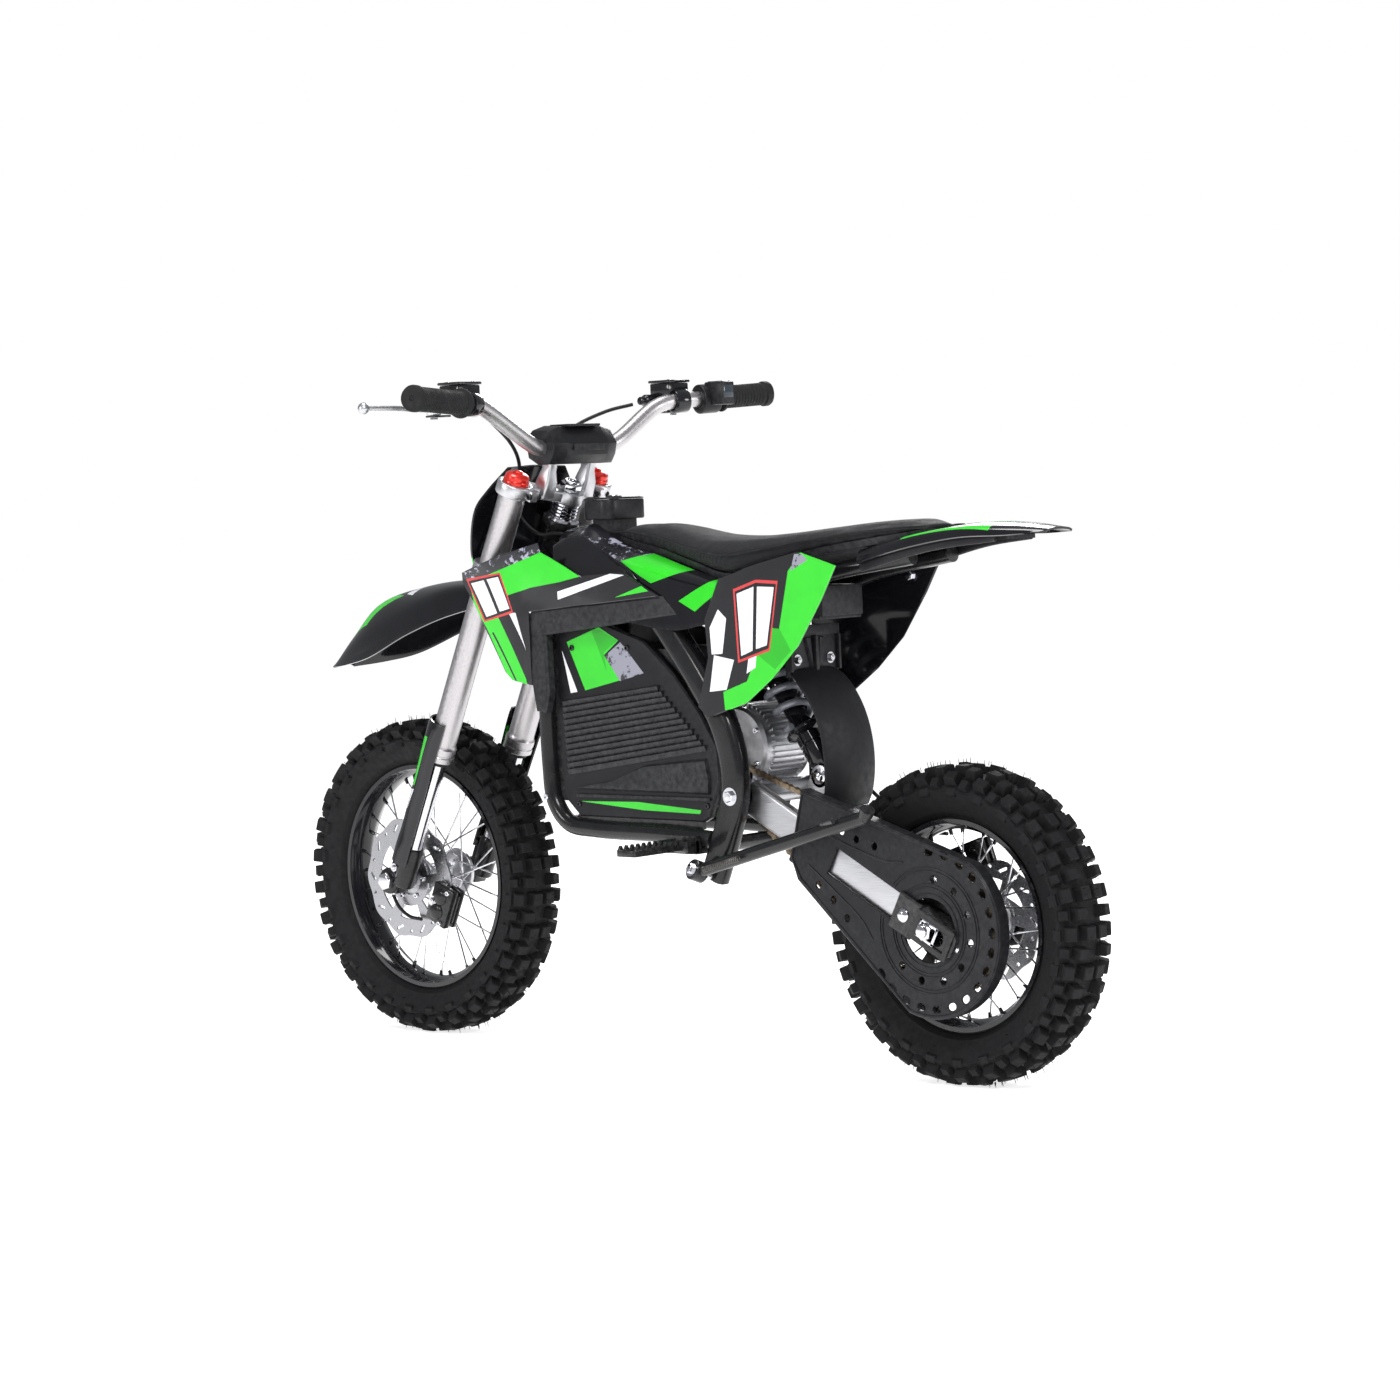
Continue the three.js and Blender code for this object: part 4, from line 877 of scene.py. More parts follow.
def make_hub(name, body, axle, lip, spokes):
    side = [
        (17, 0), (16, 12), (17, 23), (21, 25), (29, 26), (30, 28), (30, 30), (28, 32), (22, 33), (21, 40),
        (24, 41.5),
        (33, 42), (34, 43), (34, HUB_FACE_Y - 0.4), (33.6, HUB_FACE_Y),
    ]
    flip = [(r, -y) for r, y in reversed(side[1:])]
    profile = [(8.5, -HUB_FACE_Y), *flip, *side, (8.5, HUB_FACE_Y)]
    piece(name, body, "cast", [turned([*profile, profile[0]], axle, ACROSS, 64)], sharp=30)
    wires = []
    lead = math.radians(48)
    for i in range(spokes):
        a = 2 * math.pi * i / spokes
        side = 1 if i % 2 else -1
        head = 1 if (i // 2) % 2 else -1
        start = about_axle(axle, a + head * lead, 26, side * (29 + 3.2 * head))
        end = about_axle(axle, a, lip - 13, side * 4)
        wires.append(rod(start, end, 1.25, 10))
        wires.append(turned(
            [[0, -1.4], [2.4, -1.4], [2.4, 0], [1.2, 1.2], [0, 1.2]], start, ACROSS * side, 12,
        ))
    return piece(f"{name}_spokes", body, "chrome", wires)


def oval(cx, cz, length, width, angle, count=6):
    half = length / 2 - width / 2
    points = arc(half, 0, width / 2, -90, 90, count) + arc(-half, 0, width / 2, 90, 270, count)
    c, s = math.cos(angle), math.sin(angle)
    return [(cx + x * c - z * s, cz + x * s + z * c) for x, z in points]


def sector(axle, r0, r1, start, stop, count=8):
    return arc(axle.x, axle.z, r1, start, stop, count) + arc(axle.x, axle.z, r0, stop, start, count)


def make_disc(name, body, axle, radius, y0, y1):
    waves = 10
    outline = []
    for i in range(waves * 16):
        a = 2 * math.pi * i / (waves * 16)
        r = radius - 2 + 2 * math.cos(waves * a)
        outline.append((axle.x + r * math.cos(a), axle.z + r * math.sin(a)))
    holes = [circle(axle.x, axle.z, 24)]
    for i in range(6):
        holes.append(sector(axle, radius * 0.46, radius * 0.68, i * 60 + 9, i * 60 + 51))
    for i in range(waves):
        a = 2 * math.pi * i / waves
        r = radius - 12
        holes.append(oval(axle.x + r * math.cos(a), axle.z + r * math.sin(a), 15, 4, a + 0.9))
        b = a + math.pi / waves
        holes.append(circle(axle.x + (r + 1) * math.cos(b), axle.z + (r + 1) * math.sin(b), 2.6, 12))
    piece(name, body, "disc_steel", [plate(outline, y0, y1, holes, 0.3)])
    face = y1 if y1 > 0 else y0
    outward = ACROSS * (1 if face > 0 else -1)
    bolts = []
    for i in range(6):
        bolts.append(socket_bolt(about_axle(axle, math.radians(i * 60), 29, face), outward, 4, 3))
    piece(f"{name}_bolts", body, "chrome", bolts)


def make_sprocket(name, body, centre, radius, teeth, bore, y0, y1, windows):
    outline = []
    for i in range(teeth):
        for step, r in (
            (0.0, radius + 2.6), (0.18, radius + 2.6), (0.4, radius - 3), (0.6, radius - 3.8),
            (0.8, radius - 3),
        ):
            a = 2 * math.pi * (i + step) / teeth
            outline.append((centre.x + r * math.cos(a), centre.z + r * math.sin(a)))
    holes = [circle(centre.x, centre.z, bore, 24)]
    for i in range(windows):
        holes.append(sector(
            centre, radius * 0.5, radius * 0.78, i * 360 / windows + 10, (i + 1) * 360 / windows - 10,
        ))
    return piece(name, body, "dark_steel", [plate(outline, y0, y1, holes, 0.3)])


def make_wheels():
    rng = random.Random(7)
    make_tyre("front_tyre", "front_wheel", FRONT_AXLE, FRONT_TYRE_R, FRONT_LIP_R, 42, 56, rng)
    make_tyre("rear_tyre", "rear_wheel", REAR_AXLE, REAR_TYRE_R, REAR_LIP_R, 44, 50, rng)
    make_rim("front_rim", "front_wheel", FRONT_AXLE, FRONT_LIP_R, FRONT_SPOKES)
    make_rim("rear_rim", "rear_wheel", REAR_AXLE, REAR_LIP_R, REAR_SPOKES)
    make_hub("front_hub", "front_wheel", FRONT_AXLE, FRONT_LIP_R, FRONT_SPOKES)
    make_hub("rear_hub", "rear_wheel", REAR_AXLE, REAR_LIP_R, REAR_SPOKES)
    make_disc("front_disc", "front_wheel", FRONT_AXLE, 88, *FRONT_DISC_Y)
    make_disc("rear_disc", "rear_wheel", REAR_AXLE, 80, *REAR_DISC_Y)
    make_sprocket(
        "rear_sprocket", "rear_wheel", REAR_AXLE, CHAIN_R - 1, REAR_TEETH, 24, CHAIN_Y - 1.2, CHAIN_Y + 1.2,
        6,
    )
    make_sprocket(
        "drive_sprocket", "drive_sprocket", DRIVE_SHAFT, DRIVE_CHAIN_R - 1, DRIVE_TEETH, 5, CHAIN_Y - 1.2,
        CHAIN_Y + 1.2, 0,
    )
    shaft = [
        rod(at_y(DRIVE_SHAFT, 24), at_y(DRIVE_SHAFT, 60), 6),
        turned([[0, 40.4], [10, 40.4], [10, 58], [0, 58]], V(DRIVE_SHAFT.x, 0, DRIVE_SHAFT.z), ACROSS, 6),
    ]
    piece("drive_shaft", "drive_sprocket", "steel", shaft, ease=0.5)


# ---------------------------------------------------------------- fork


def make_fork():
    for name, side in SIDES:
        y = side * LEG_Y
        base = fork(0, 0, y)
        tube_profile = [
            [14, 204], [20.5, 204], [21.5, 205], [21.5, 212], [20.6, 213], [20.6, 215], [21.5, 216],
            [21.5, 225],
            [20, 227], [FORK_TUBE_R, 231], [FORK_TUBE_R, 630], [14, 630], [14, 204],
        ]
        piece(f"fork_tube_{name}", "steering", "satin_tube", [turned(tube_profile, base, ALONG, 64)])
        cap = [turned([[0, 628], [18.4, 628], [18.4, 634], [17, 636], [0, 636]], base, ALONG, 48)]
        cap.append(loft([
            ring(base + ALONG * t, ALONG, r, 12) for t, r in ((634, 17.6), (641, 17), (644, 13), (644.6, 7))
        ]))
        cap.append(turned([[0, 644], [6, 644], [6, 647], [3.5, 647.6], [0, 647.6]], base, ALONG, 6))
        piece(f"fork_cap_{name}", "steering", "red", cap, ease=0.5)
        wiper = turned([[12.8, 198], [16, 198], [18, 204], [12.8, 204], [12.8, 198]], base, ALONG, 48)
        piece(f"fork_wiper_{name}", "steering", "rubber", [wiper])
        leg = [rod(fork(40, 0, y), fork(505, 0, y), STANCHION_R, 48)]
        piece(f"fork_leg_{name}", "fork_slider", "chrome", leg)
        inner, outer = side * 64, side * 92
        foot = [
            turned([[0, 0], [14, 0], [16, 4], [16, 54], [14, 62], [12.6, 64], [0, 64]], base, ALONG, 40),
            rod(fork(0, AXLE_LEAD, inner), fork(0, AXLE_LEAD, outer), 19, 40),
            beam(fork(-12, 8, y), fork(44, 8, y), 20, 24),
        ]
        piece(f"fork_foot_{name}", "fork_slider", "frame_paint", foot, ease=2)
        pinch = [
            socket_bolt(fork(-14, 8, side * (LEG_Y + 6)), -ALONG, 3.5, 3),
            *bolt(fork(24, 14, side * 91), ACROSS * side, 4, 3),
        ]
        piece(f"fork_pinch_{name}", "fork_slider", "chrome", pinch)
        rows = []
        for t, radius in ((38, 26), (64, 26), (90, 25), (170, 26), (250, 28), (262, 27)):
            angles = [math.radians(-20 + i * 24) for i in range(7)]
            rows.append([
                fork(t, radius * math.cos(a), side * (LEG_Y + radius * math.sin(a))) for a in angles
            ])
        a, b = fork(232, 0, 0), fork(160, 0, 0)
        patch = [(a.x + 4, a.z + 8), (a.x + 34, a.z + 12), (b.x + 34, b.z), (b.x + 8, b.z + 4)]
        c, d = fork(158, 0, 0), fork(128, 0, 0)
        stripe = [(c.x + 8, c.z), (c.x + 34, c.z), (d.x + 34, d.z), (d.x + 14, d.z)]
        guard = [sheet(grid(rows, 20, 20), side * 2.5)]
        films = [("green", patch), ("white", stripe)]
        piece(f"fork_guard_{name}", "fork_slider", "gloss_black", guard, films=films)
    axle = [
        rod(at_y(FRONT_AXLE, -98), at_y(FRONT_AXLE, 98), 8),
        rod(at_y(FRONT_AXLE, HUB_FACE_Y + 3.8), at_y(FRONT_AXLE, 63.6), 13, 40),
        rod(at_y(FRONT_AXLE, -63.6), at_y(FRONT_AXLE, -HUB_FACE_Y - 0.4), 13, 40),
        hexagon(at_y(FRONT_AXLE, 92.4), ACROSS, 13, 9),
        hexagon(at_y(FRONT_AXLE, -92.4), -ACROSS, 13, 9),
    ]
    piece("front_axle", "fork_slider", "chrome", axle, ease=0.4)


def make_caliper(name, body, centre, y0, y1, disc_y, length, height, tilt, outward):
    """A brake caliper: two halves either side of the disc, bridged above it, with bolts and a hose union."""
    middle = (y0 + y1) / 2
    place = Matrix.Translation(V(centre.x, middle, centre.z)) @ Matrix.Rotation(tilt, 4, "Y")
    half = (y1 - y0) / 2
    slot0, slot1 = disc_y[0] - 1.2 - middle, disc_y[1] + 1.2 - middle
    top = height / 2
    shapes = [
        block(V(-length / 2, slot1, -top), V(length / 2, half, top)),
        block(V(-length / 2, -half, -top), V(length / 2, slot0, top)),
        block(V(-length * 0.38, slot0 - 1, top - 8), V(length * 0.38, slot1 + 1, top)),
    ]
    piston = [[0, half - 1], [12, half - 1], [12, half + 2.5], [8, half + 4], [0, half + 4]]
    for x in (-length * 0.2, length * 0.2):
        for direction in (ACROSS, -ACROSS):
            shapes.append(turned(piston, V(x, 0, -2), direction, 32))
    piece(name, body, "frame_paint", [moved(s, place) for s in shapes], ease=1.8)
    bolts = []
    for x in (-length * 0.42, length * 0.42):
        bolts.append(socket_bolt(V(x, half * outward, top * 0.55), ACROSS * outward, 4, 4))
    bolts += bolt(V(0, half * outward, -top * 0.7), ACROSS * outward, 5, 4)
    piece(f"{name}_bolts", body, "chrome", [moved(s, place) for s in bolts])


def clamp_shapes(t0, t1, ring_radius):
    """A triple clamp: a ring round each fork tube, arms to the stem, and pinch bolt ears."""
    shapes = [turned(
        [[0, t0 + 1], [21, t0 + 1], [21, t1 - 1], [0, t1 - 1]], fork(0, -STEM_SETBACK, 0), ALONG, 48,
    )]
    for side in (1, -1):
        y = side * LEG_Y
        bore = FORK_TUBE_R + 0.2
        lip = [
            [bore, t0], [ring_radius - 1, t0], [ring_radius, t0 + 1.5], [ring_radius, t1 - 1.5],
            [ring_radius - 1, t1], [bore, t1], [bore, t0],
        ]
        shapes.append(turned(lip, fork(0, 0, y), ALONG, 48))
        arms = []
        for t, grow in ((t0 + 1, -1), (t0 + 3, 1), (t1 - 3, 1), (t1 - 1, -1)):
            path = [
                (-STEM_SETBACK - 17 - grow, 0), (-STEM_SETBACK + 17 + grow, 0), (-6 + grow, side * 34),
                (16 + grow, side * (LEG_Y - 16)),
                (-16 - grow, side * (LEG_Y - 16)), (-30 - grow, side * 32),
            ]
            arms.append([fork(t, ahead, across) for ahead, across in path])
        shapes.append(loft(arms))
        mid = (t0 + t1) / 2
        shapes.append(beam(
            fork(mid, -ring_radius - 7, side * (LEG_Y - 10)),
            fork(mid, -FORK_TUBE_R - 2, side * (LEG_Y - 10)), t1 - t0 - 3, 14,
        ))
    return shapes


def make_clamps():
    lower = clamp_shapes(480, 506, 27)
    piece("lower_clamp", "steering", "cast", lower, ease=0.8)
    upper = clamp_shapes(612, 630, 25)
    bar = fork(686, -14, 0)
    for side in (1, -1):
        y = side * 38
        stations = [
            (618, 13, 13, -19), (640, 12, 11, -19), (655, 9, 8, -17), (668, 9, 8, -15), (686, 13, 11, -14),
        ]
        rings = []
        for t, deep, wide, ahead in stations:
            outline = box_section(2 * deep, 2 * wide, 4, 3)
            rings.append([fork(t, ahead + a, y + b) for a, b in outline])
        upper.append(loft(rings))
        profile = [
            [BAR_R + 0.6, -10], [17, -10], [18, -9], [18, 9], [17, 10], [BAR_R + 0.6, 10],
            [BAR_R + 0.6, -10],
        ]
        upper.append(turned(profile, at_y(bar, y), ACROSS, 40))
    piece("upper_clamp", "steering", "cast", upper, ease=0.8)
    stem = [
        rod(fork(482, -STEM_SETBACK, 0), fork(640, -STEM_SETBACK, 0), 11),
        hexagon(fork(630.4, -STEM_SETBACK, 0), ALONG, 15, 11),
    ]
    stem.append(turned(
        [[8, 641], [11, 641], [11, 644], [8, 644], [8, 641]], fork(0, -STEM_SETBACK, 0), ALONG,
    ))
    piece("stem_nut", "steering", "chrome", stem, ease=0.4)
    bolts = []
    for t in (621, 493):
        for side in (1, -1):
            bolts.append(socket_bolt(
                fork(t, -30 - (t < 500) * 2, side * (LEG_Y - 3)), ACROSS * side, 4.4, 4,
            ))
            bolts.append(rod(fork(t, -30, side * (LEG_Y - 21)), fork(t, -30, side * (LEG_Y - 17)), 4, 20))
    piece("clamp_bolts", "steering", "gloss_black", bolts)


# ---------------------------------------------------------------- handlebar and controls

BAR_CENTRE = fork(686, -14, 0)
BAR_OUTER = (111.5, 349, 905)
BAR_INNER = (157, 188, 896.5)
BAR_POINTS = [
    BAR_OUTER, (140, 252, 900), BAR_INNER, (163, 164, 888),
    (163, 90, 845), (BAR_CENTRE.x, 66, BAR_CENTRE.z + 1), (BAR_CENTRE.x, 0, BAR_CENTRE.z),
]
BAR_AXIS = (V(*BAR_OUTER) - V(*BAR_INNER)).normalized()


def bar_point(y):
    """The point on the straight outer part of the bar that is y across."""
    (x0, y0, z0), (x1, y1, z1) = BAR_INNER, BAR_OUTER
    f = (abs(y) - y0) / (y1 - y0)
    return V(x0 + (x1 - x0) * f, y, z0 + (z1 - z0) * f)


BAR_BASE = bar_point(BAR_INNER[1])


def mirrored_y(shape):
    points, faces = shape
    return [V(p.x, -p.y, p.z) for p in points], faces


def both_ways(shapes, side):
    return shapes if side > 0 else [mirrored_y(s) for s in shapes]


def grip_shapes(start, stop):
    """A ribbed grip sleeve, from one distance along the bar to another."""
    profile = [[BAR_R + 0.5, start], [20, start], [20.5, start + 1.5], [20, start + 4], [16, start + 6]]
    h = start + 9
    while h < stop - 9:
        profile += [[15.6, h], [16.4, h + 0.9], [16.4, h + 2.6], [15.6, h + 3.5]]
        h += 5
    profile += [
        [16, stop - 6], [18, stop - 4], [18, stop + 3], [16.5, stop + 6], [4, stop + 6.6], [3, stop + 5],
        [0, stop + 5],
    ]
    shift = [[r, h - BAR_INNER[1]] for r, h in profile]
    return [turned(shift, BAR_BASE, BAR_AXIS, 48)]


def lever_shape():
    """The left brake lever: a flat blade that ends in a ball."""
    p = LEVER_PIVOT
    path = smooth_path(
        [V(p.x, p.y, p.z), V(p.x + 8, 262, p.z + 1), V(p.x + 2, 305, p.z + 3), V(p.x + 14, 350, p.z + 4)],
        28,
    )
    rings = []
    for i, point in enumerate(path):
        f = i / (len(path) - 1)
        wide = 6.5 - 2.4 * f
        section = box_section(2 * wide, 7.5 - 1.5 * f, 2.4, 4)
        rings.append([point + V(a, 0, b) for a, b in section])
    ball = turned(
        [[8 * math.cos(a), 8 * math.sin(a)] for a in [math.pi * (k / 12 - 0.5) for k in range(13)]],
        path[-1], UP, 24,
    )
    eye = turned([[0, -7], [9, -7], [10, -6], [10, 6], [9, 7], [0, 7]], p, UP, 32)
    return [loft(rings), ball, eye]


def master_shapes():
    """The left brake master: bar clamp, reservoir with a lid, cylinder and lever bracket."""
    at = bar_point(208)
    clamp = turned(
        [[BAR_R + 0.4, 8], [17, 8], [17, 30], [BAR_R + 0.4, 30], [BAR_R + 0.4, 8]], BAR_BASE, BAR_AXIS, 40,
    )
    reservoir = block(V(at.x + 1, 186, at.z + 8), V(at.x + 38, 227, at.z + 26))
    lid = block(V(at.x - 1, 184, at.z + 26.4), V(at.x + 40, 229, at.z + 30.4))
    cylinder = turned(
        [[0, 0], [6, 0], [6, 8], [9, 10], [9, 60], [0, 60]], V(at.x + 36, 162, at.z + 2), ACROSS, 32,
    )
    neck = block(V(at.x + 8, 196, at.z - 8), V(at.x + 36, 220, at.z + 10))
    ears = [
        block(
            V(LEVER_PIVOT.x - 11, 214, LEVER_PIVOT.z + z), V(LEVER_PIVOT.x + 9, 244, LEVER_PIVOT.z + z + 3),
        )
        for z in (-10.4, 7.4)
    ]
    return [clamp, reservoir, lid, cylinder, neck, *ears]


def make_controls():
    left = [V(*p) for p in BAR_POINTS]
    right = [V(x, -y, z) for x, y, z in BAR_POINTS[:-1]]
    bar = tube([*left, *reversed(right)], BAR_R, 120, 28, UP)
    piece("handlebar", "steering", "satin_tube", [bar])
    piece("grip_left", "steering", "rubber", grip_shapes(230, 352))
    right_grip = [mirrored_y(s) for s in grip_shapes(275, 352)]
    piece("throttle_grip", "throttle_grip", "rubber", right_grip)
    housing = [
        turned(
            [
                [BAR_R + 0.4, 51], [20, 51], [21, 52], [21, 79], [20, 80], [BAR_R + 0.4, 80],
                [BAR_R + 0.4, 51],
            ],
            BAR_BASE, BAR_AXIS, 40,
        ),
        block(V(99, 240, 890), V(134, 266, 923)),
    ]
    piece("throttle_housing", "steering", "moulded", [mirrored_y(s) for s in housing], ease=2.2)
    panel = [block(V(98.4, 243, 900), V(101, 263, 918)), block(V(104, 243, 922), V(130, 263, 924))]
    piece("throttle_display", "steering", "screen", [mirrored_y(s) for s in panel], ease=0.8)
    for name, side in SIDES:
        piece(f"brake_master_{name}", "steering", "gloss_black", both_ways(master_shapes(), side), ease=1.6)
        screws = [
            socket_bolt(V(bar_point(208).x + x, y, bar_point(208).z + 29.6), UP, 3, 1.6)
            for x, y in ((7, 193), (31, 219))
        ]
        screws += bolt(LEVER_PIVOT + UP * 10.2, UP, 4, 3)
        screws += [rod(LEVER_PIVOT - UP * 13, LEVER_PIVOT - UP * 10, 5, 6)]
        piece(f"master_screws_{name}", "steering", "chrome", both_ways(screws, side))
        piece(
            f"brake_lever_{name}", f"brake_lever_{name}", "cast", both_ways(lever_shape(), side), sharp=50,
        )
    make_bar_pad()


def make_bar_pad():
    c = BAR_CENTRE

    def section(y, grow):
        return [
            V(c.x - 26 - grow, y, c.z - 10), V(c.x - 30 - grow, y, c.z + 6),
            V(c.x - 14, y, c.z + 28 + grow),
            V(c.x + 16, y, c.z + 30 + grow), V(c.x + 30, y, c.z + 14), V(c.x + 26, y, c.z - 12),
            V(c.x + 8, y, c.z - 22), V(c.x - 14, y, c.z - 22),
        ]

    shell = loft([
        section(-62, -4), section(-40, 2), section(-39, 2), section(39, 2), section(40, 2), section(62, -4),
    ])
    piece("bar_pad", "steering", "moulded", [shell], ease=1.4)
    back = c.x - 30
    recess = [
        block(V(back - 3.4, -30, c.z - 4), V(back - 0.4, 30, c.z + 5)),
        block(V(back + 6, -32, c.z + 29.5), V(c.x + 12, 32, c.z + 33)),
    ]
    piece("bar_pad_panels", "steering", "matte", recess, ease=1)


# ---------------------------------------------------------------- front bodywork


def make_number_plate():
    rows = [
        [fork(t, 46 - abs(i) * 3, half * i / 2) for i in range(-2, 3)]
        for t, half in ((634, 56), (600, 84), (573, 98), (510, 84), (470, 60))
    ]
    fine = grid(rows, 24, 24)
    shapes = [sheet(fine, 3)]
    for side in (1, -1):
        shapes.append(beam(fork(560, 20, side * 50), fork(560, 43, side * 50), 14, 8))
    shapes.append(beam(fork(480, 26, 0), fork(480, 44, 0), 10, 40))
    films = [
        ("green", [(-110, 640), (-30, 640), (-70, 700)]), ("green", [(30, 640), (110, 640), (70, 700)]),
    ]
    piece("number_plate", "steering", "gloss_black", shapes, films=films, plane=(1, 2))


def saddle(stations):
    """Rows across a saddle-shaped cover, from half sections [y, z]."""
    rows = []
    for x, half in stations:
        left = [(y, z) for y, z in reversed(half[1:])]
        right = [(-y, z) for y, z in half]
        rows.append([V(x, y, z) for y, z in [*left, *right]])
    return rows


def make_front_fender():
    rows = saddle([
        (660, [[0, 533], [8, 532.5], [15, 531], [20, 528]]),
        (606, [[0, 580], [17, 577], [32, 562], [36, 535]]),
        (549, [[0, 623], [26, 617], [44, 588], [48, 546]]),
        (454, [[0, 645], [30, 640], [51, 620], [58, 580]]),
        (367, [[0, 652], [30, 650], [50, 640], [56, 606]]),
        (300, [[0, 646], [28, 645], [44, 638], [50, 616]]),
        (236, [[0, 622], [26, 621], [40, 616], [44, 602]]),
    ])
    films = []
    for side in (1, -1):
        films.append(("green", [(600, side * 31), (560, side * 42), (486, side * 34), (520, side * 20)]))
        films.append(("white", [(480, side * 33), (462, side * 40), (452, side * 18), (470, side * 14)]))
    piece(
        "front_fender", "steering", "gloss_black", [sheet(grid(rows, 48, 40), 3)], films=films,
        plane=(0, 1),
    )
    brace = [
        block(V(300, -34, 641), V(352, 34, 646)), *bolt(V(320, 24, 641), -UP, 4, 3),
        *bolt(V(320, -24, 641), -UP, 4, 3),
    ]
    piece("fender_brace", "steering", "matte", brace, ease=1)


HOSE_R = 2.6


def hose(name, points):
    """A brake hose: one tube along the given points, carried by no body."""
    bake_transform(piece(name, None, "hose", [tube(points, HOSE_R, 110, 12)]))


def make_hoses():
    front = [
        V(192, -152, 895), V(214, -118, 886), V(238, -70, 862), fork(650, 31, -16), fork(600, 31, 20),
        fork(540, 31, 48), fork(470, 30, 64), fork(400, 28, 70), fork(300, 26, 68), fork(250, 23, 62),
        fork(110, 22, 60),
        fork(50, 40, 60), fork(-10, 44, 60), fork(-40, 20, 60), fork(-46, -10, 60), fork(-38, -36, 60),
    ]
    hose("front_brake_hose", front)
    rear = [
        V(192, 152, 895), V(214, 120, 884), fork(680, 26, 84), fork(640, 31, 46), fork(600, 31, 36),
        fork(575, 8, 42), fork(566, -34, 40), V(176, 30, 718), V(148, 12, 711), V(110, 0, 692),
        V(50, 0, 664),
        V(-20, -20, 640), V(-90, -46, 596), V(-150, -62, 560), V(-212, -68, 500), V(-240, -68, 440),
        V(-262, -66, 398), V(-330, -66, 342), V(-400, -64, 314), V(-430, -58, 312),
    ]
    whole = smooth_path(rear, 190)
    middle = 110
    hose("rear_brake_hose", whole[: middle + 1])
    hose("rear_brake_hose_low", whole[middle:])


# ---------------------------------------------------------------- frame


def sided(points, side):
    return [V(x, side * y, z) for x, y, z in points]


def make_frame():
    head_profile = [
        [14, 512], [26, 512], [26, 520], [23, 526], [23, 572], [26, 578], [26, 586], [14, 586], [14, 512],
    ]
    shapes = [turned(head_profile, fork(0, -STEM_SETBACK, 0), ALONG, 64)]
    for side in (1, -1):
        loop = sided([
            (212, 12, 690), (184, 25, 668), (168, 40, 632), (158, 60, 592), (154, 76, 548),
            (153, LOOP_Y, 500),
            (152, LOOP_Y, 400), (146, LOOP_Y, 352), (120, LOOP_Y, 322), (70, LOOP_Y, 315), (-60, 84, 313),
            (-152, 87, 308),
        ], side)
        shapes.append(tube(loop, 12, 90, 24))
        rail = sided([
            (204, 14, 704), (150, 36, 686), (100, 54, 666), (20, 68, 642), (-60, 74, 628), (-180, 72, 620),
            (-250, 66, 634), (-330, 57, 655), (-470, 40, 676),
        ], side)
        shapes.append(tube(rail, 11, 70, 24))
        rear = smooth_path(sided([
            (-40, 72, 626), (-92, 79, 572), (-140, 85, 518), (-178, REAR_TUBE_Y, 464),
            (-194, REAR_TUBE_Y, 412), (-194, REAR_TUBE_Y, 366), (-176, REAR_TUBE_Y, 314),
            (-152, REAR_TUBE_Y, 258),
        ], side), 60)
        shapes.append(sweep(rear, box_section(26, 40, 10, 5)))
        shapes.append(beam(V(-112, side * 20, 640), V(-131, side * 20, 606), 24, 6))
        p = PEG_PIVOT
        shapes.append(side_block(side, (p.x - 28, p.x + 28), (80, 105), (290, 314)))
        for x in (p.x - 28, p.x + 24):
            shapes.append(side_block(side, (x, x + 4), (100, 122), (292, 308)))
        shapes.append(side_block(side, (126, 150), (71, 78), (352, 588)))
        shapes.append(side_block(side, (-124, 106), (71, 78), (320, 336)))
    for x, z, half, radius in (
        (-112, 628, 76, 10), (-150, 300, 88, 10), (120, 322, 84, 10), (60, 316, 84, 8),
    ):
        shapes.append(rod(V(x, -half, z), V(x, half, z), radius))
    gusset = [V(210, 0, 672), V(160, 0, 690), V(130, 0, 664), V(176, 0, 628)]
    shapes.append(loft([[at_y(q, y) for q in gusset] for y in (-12, 12)]))
    piece("main_frame", "frame", "frame_paint", shapes, ease=0, sharp=40)
    beads = []
    for side in (1, -1):
        weld = [[15, 0], [18.5, 1.5], [19, 4], [15, 5], [15, 0]]
        beads.append(turned(weld, V(-150, side * 76, 300), ACROSS * side, 40))
        beads.append(turned(
            [[12, 0], [14.5, 1], [14.5, 3], [12, 4], [12, 0]], V(-112, side * 60, 628), ACROSS * side, 32,
        ))
    piece("frame_welds", "frame", "frame_paint", beads)
    make_frame_bolts()
    bearing = []
    for t in range(588, 611, 5):
        bearing.append(turned(
            [[12, t], [17.5, t], [19, t + 1], [19, t + 3.4], [17.5, t + 4.4], [12, t + 4.4], [12, t]],
            fork(0, -STEM_SETBACK, 0), ALONG, 48,
        ))
    bearing.append(turned(
        [[14, 586], [24, 586], [24.6, 587], [22, 590], [14, 590], [14, 586]], fork(0, -STEM_SETBACK, 0),
        ALONG, 48,
    ))
    piece("head_bearing", "frame", "chrome", bearing)


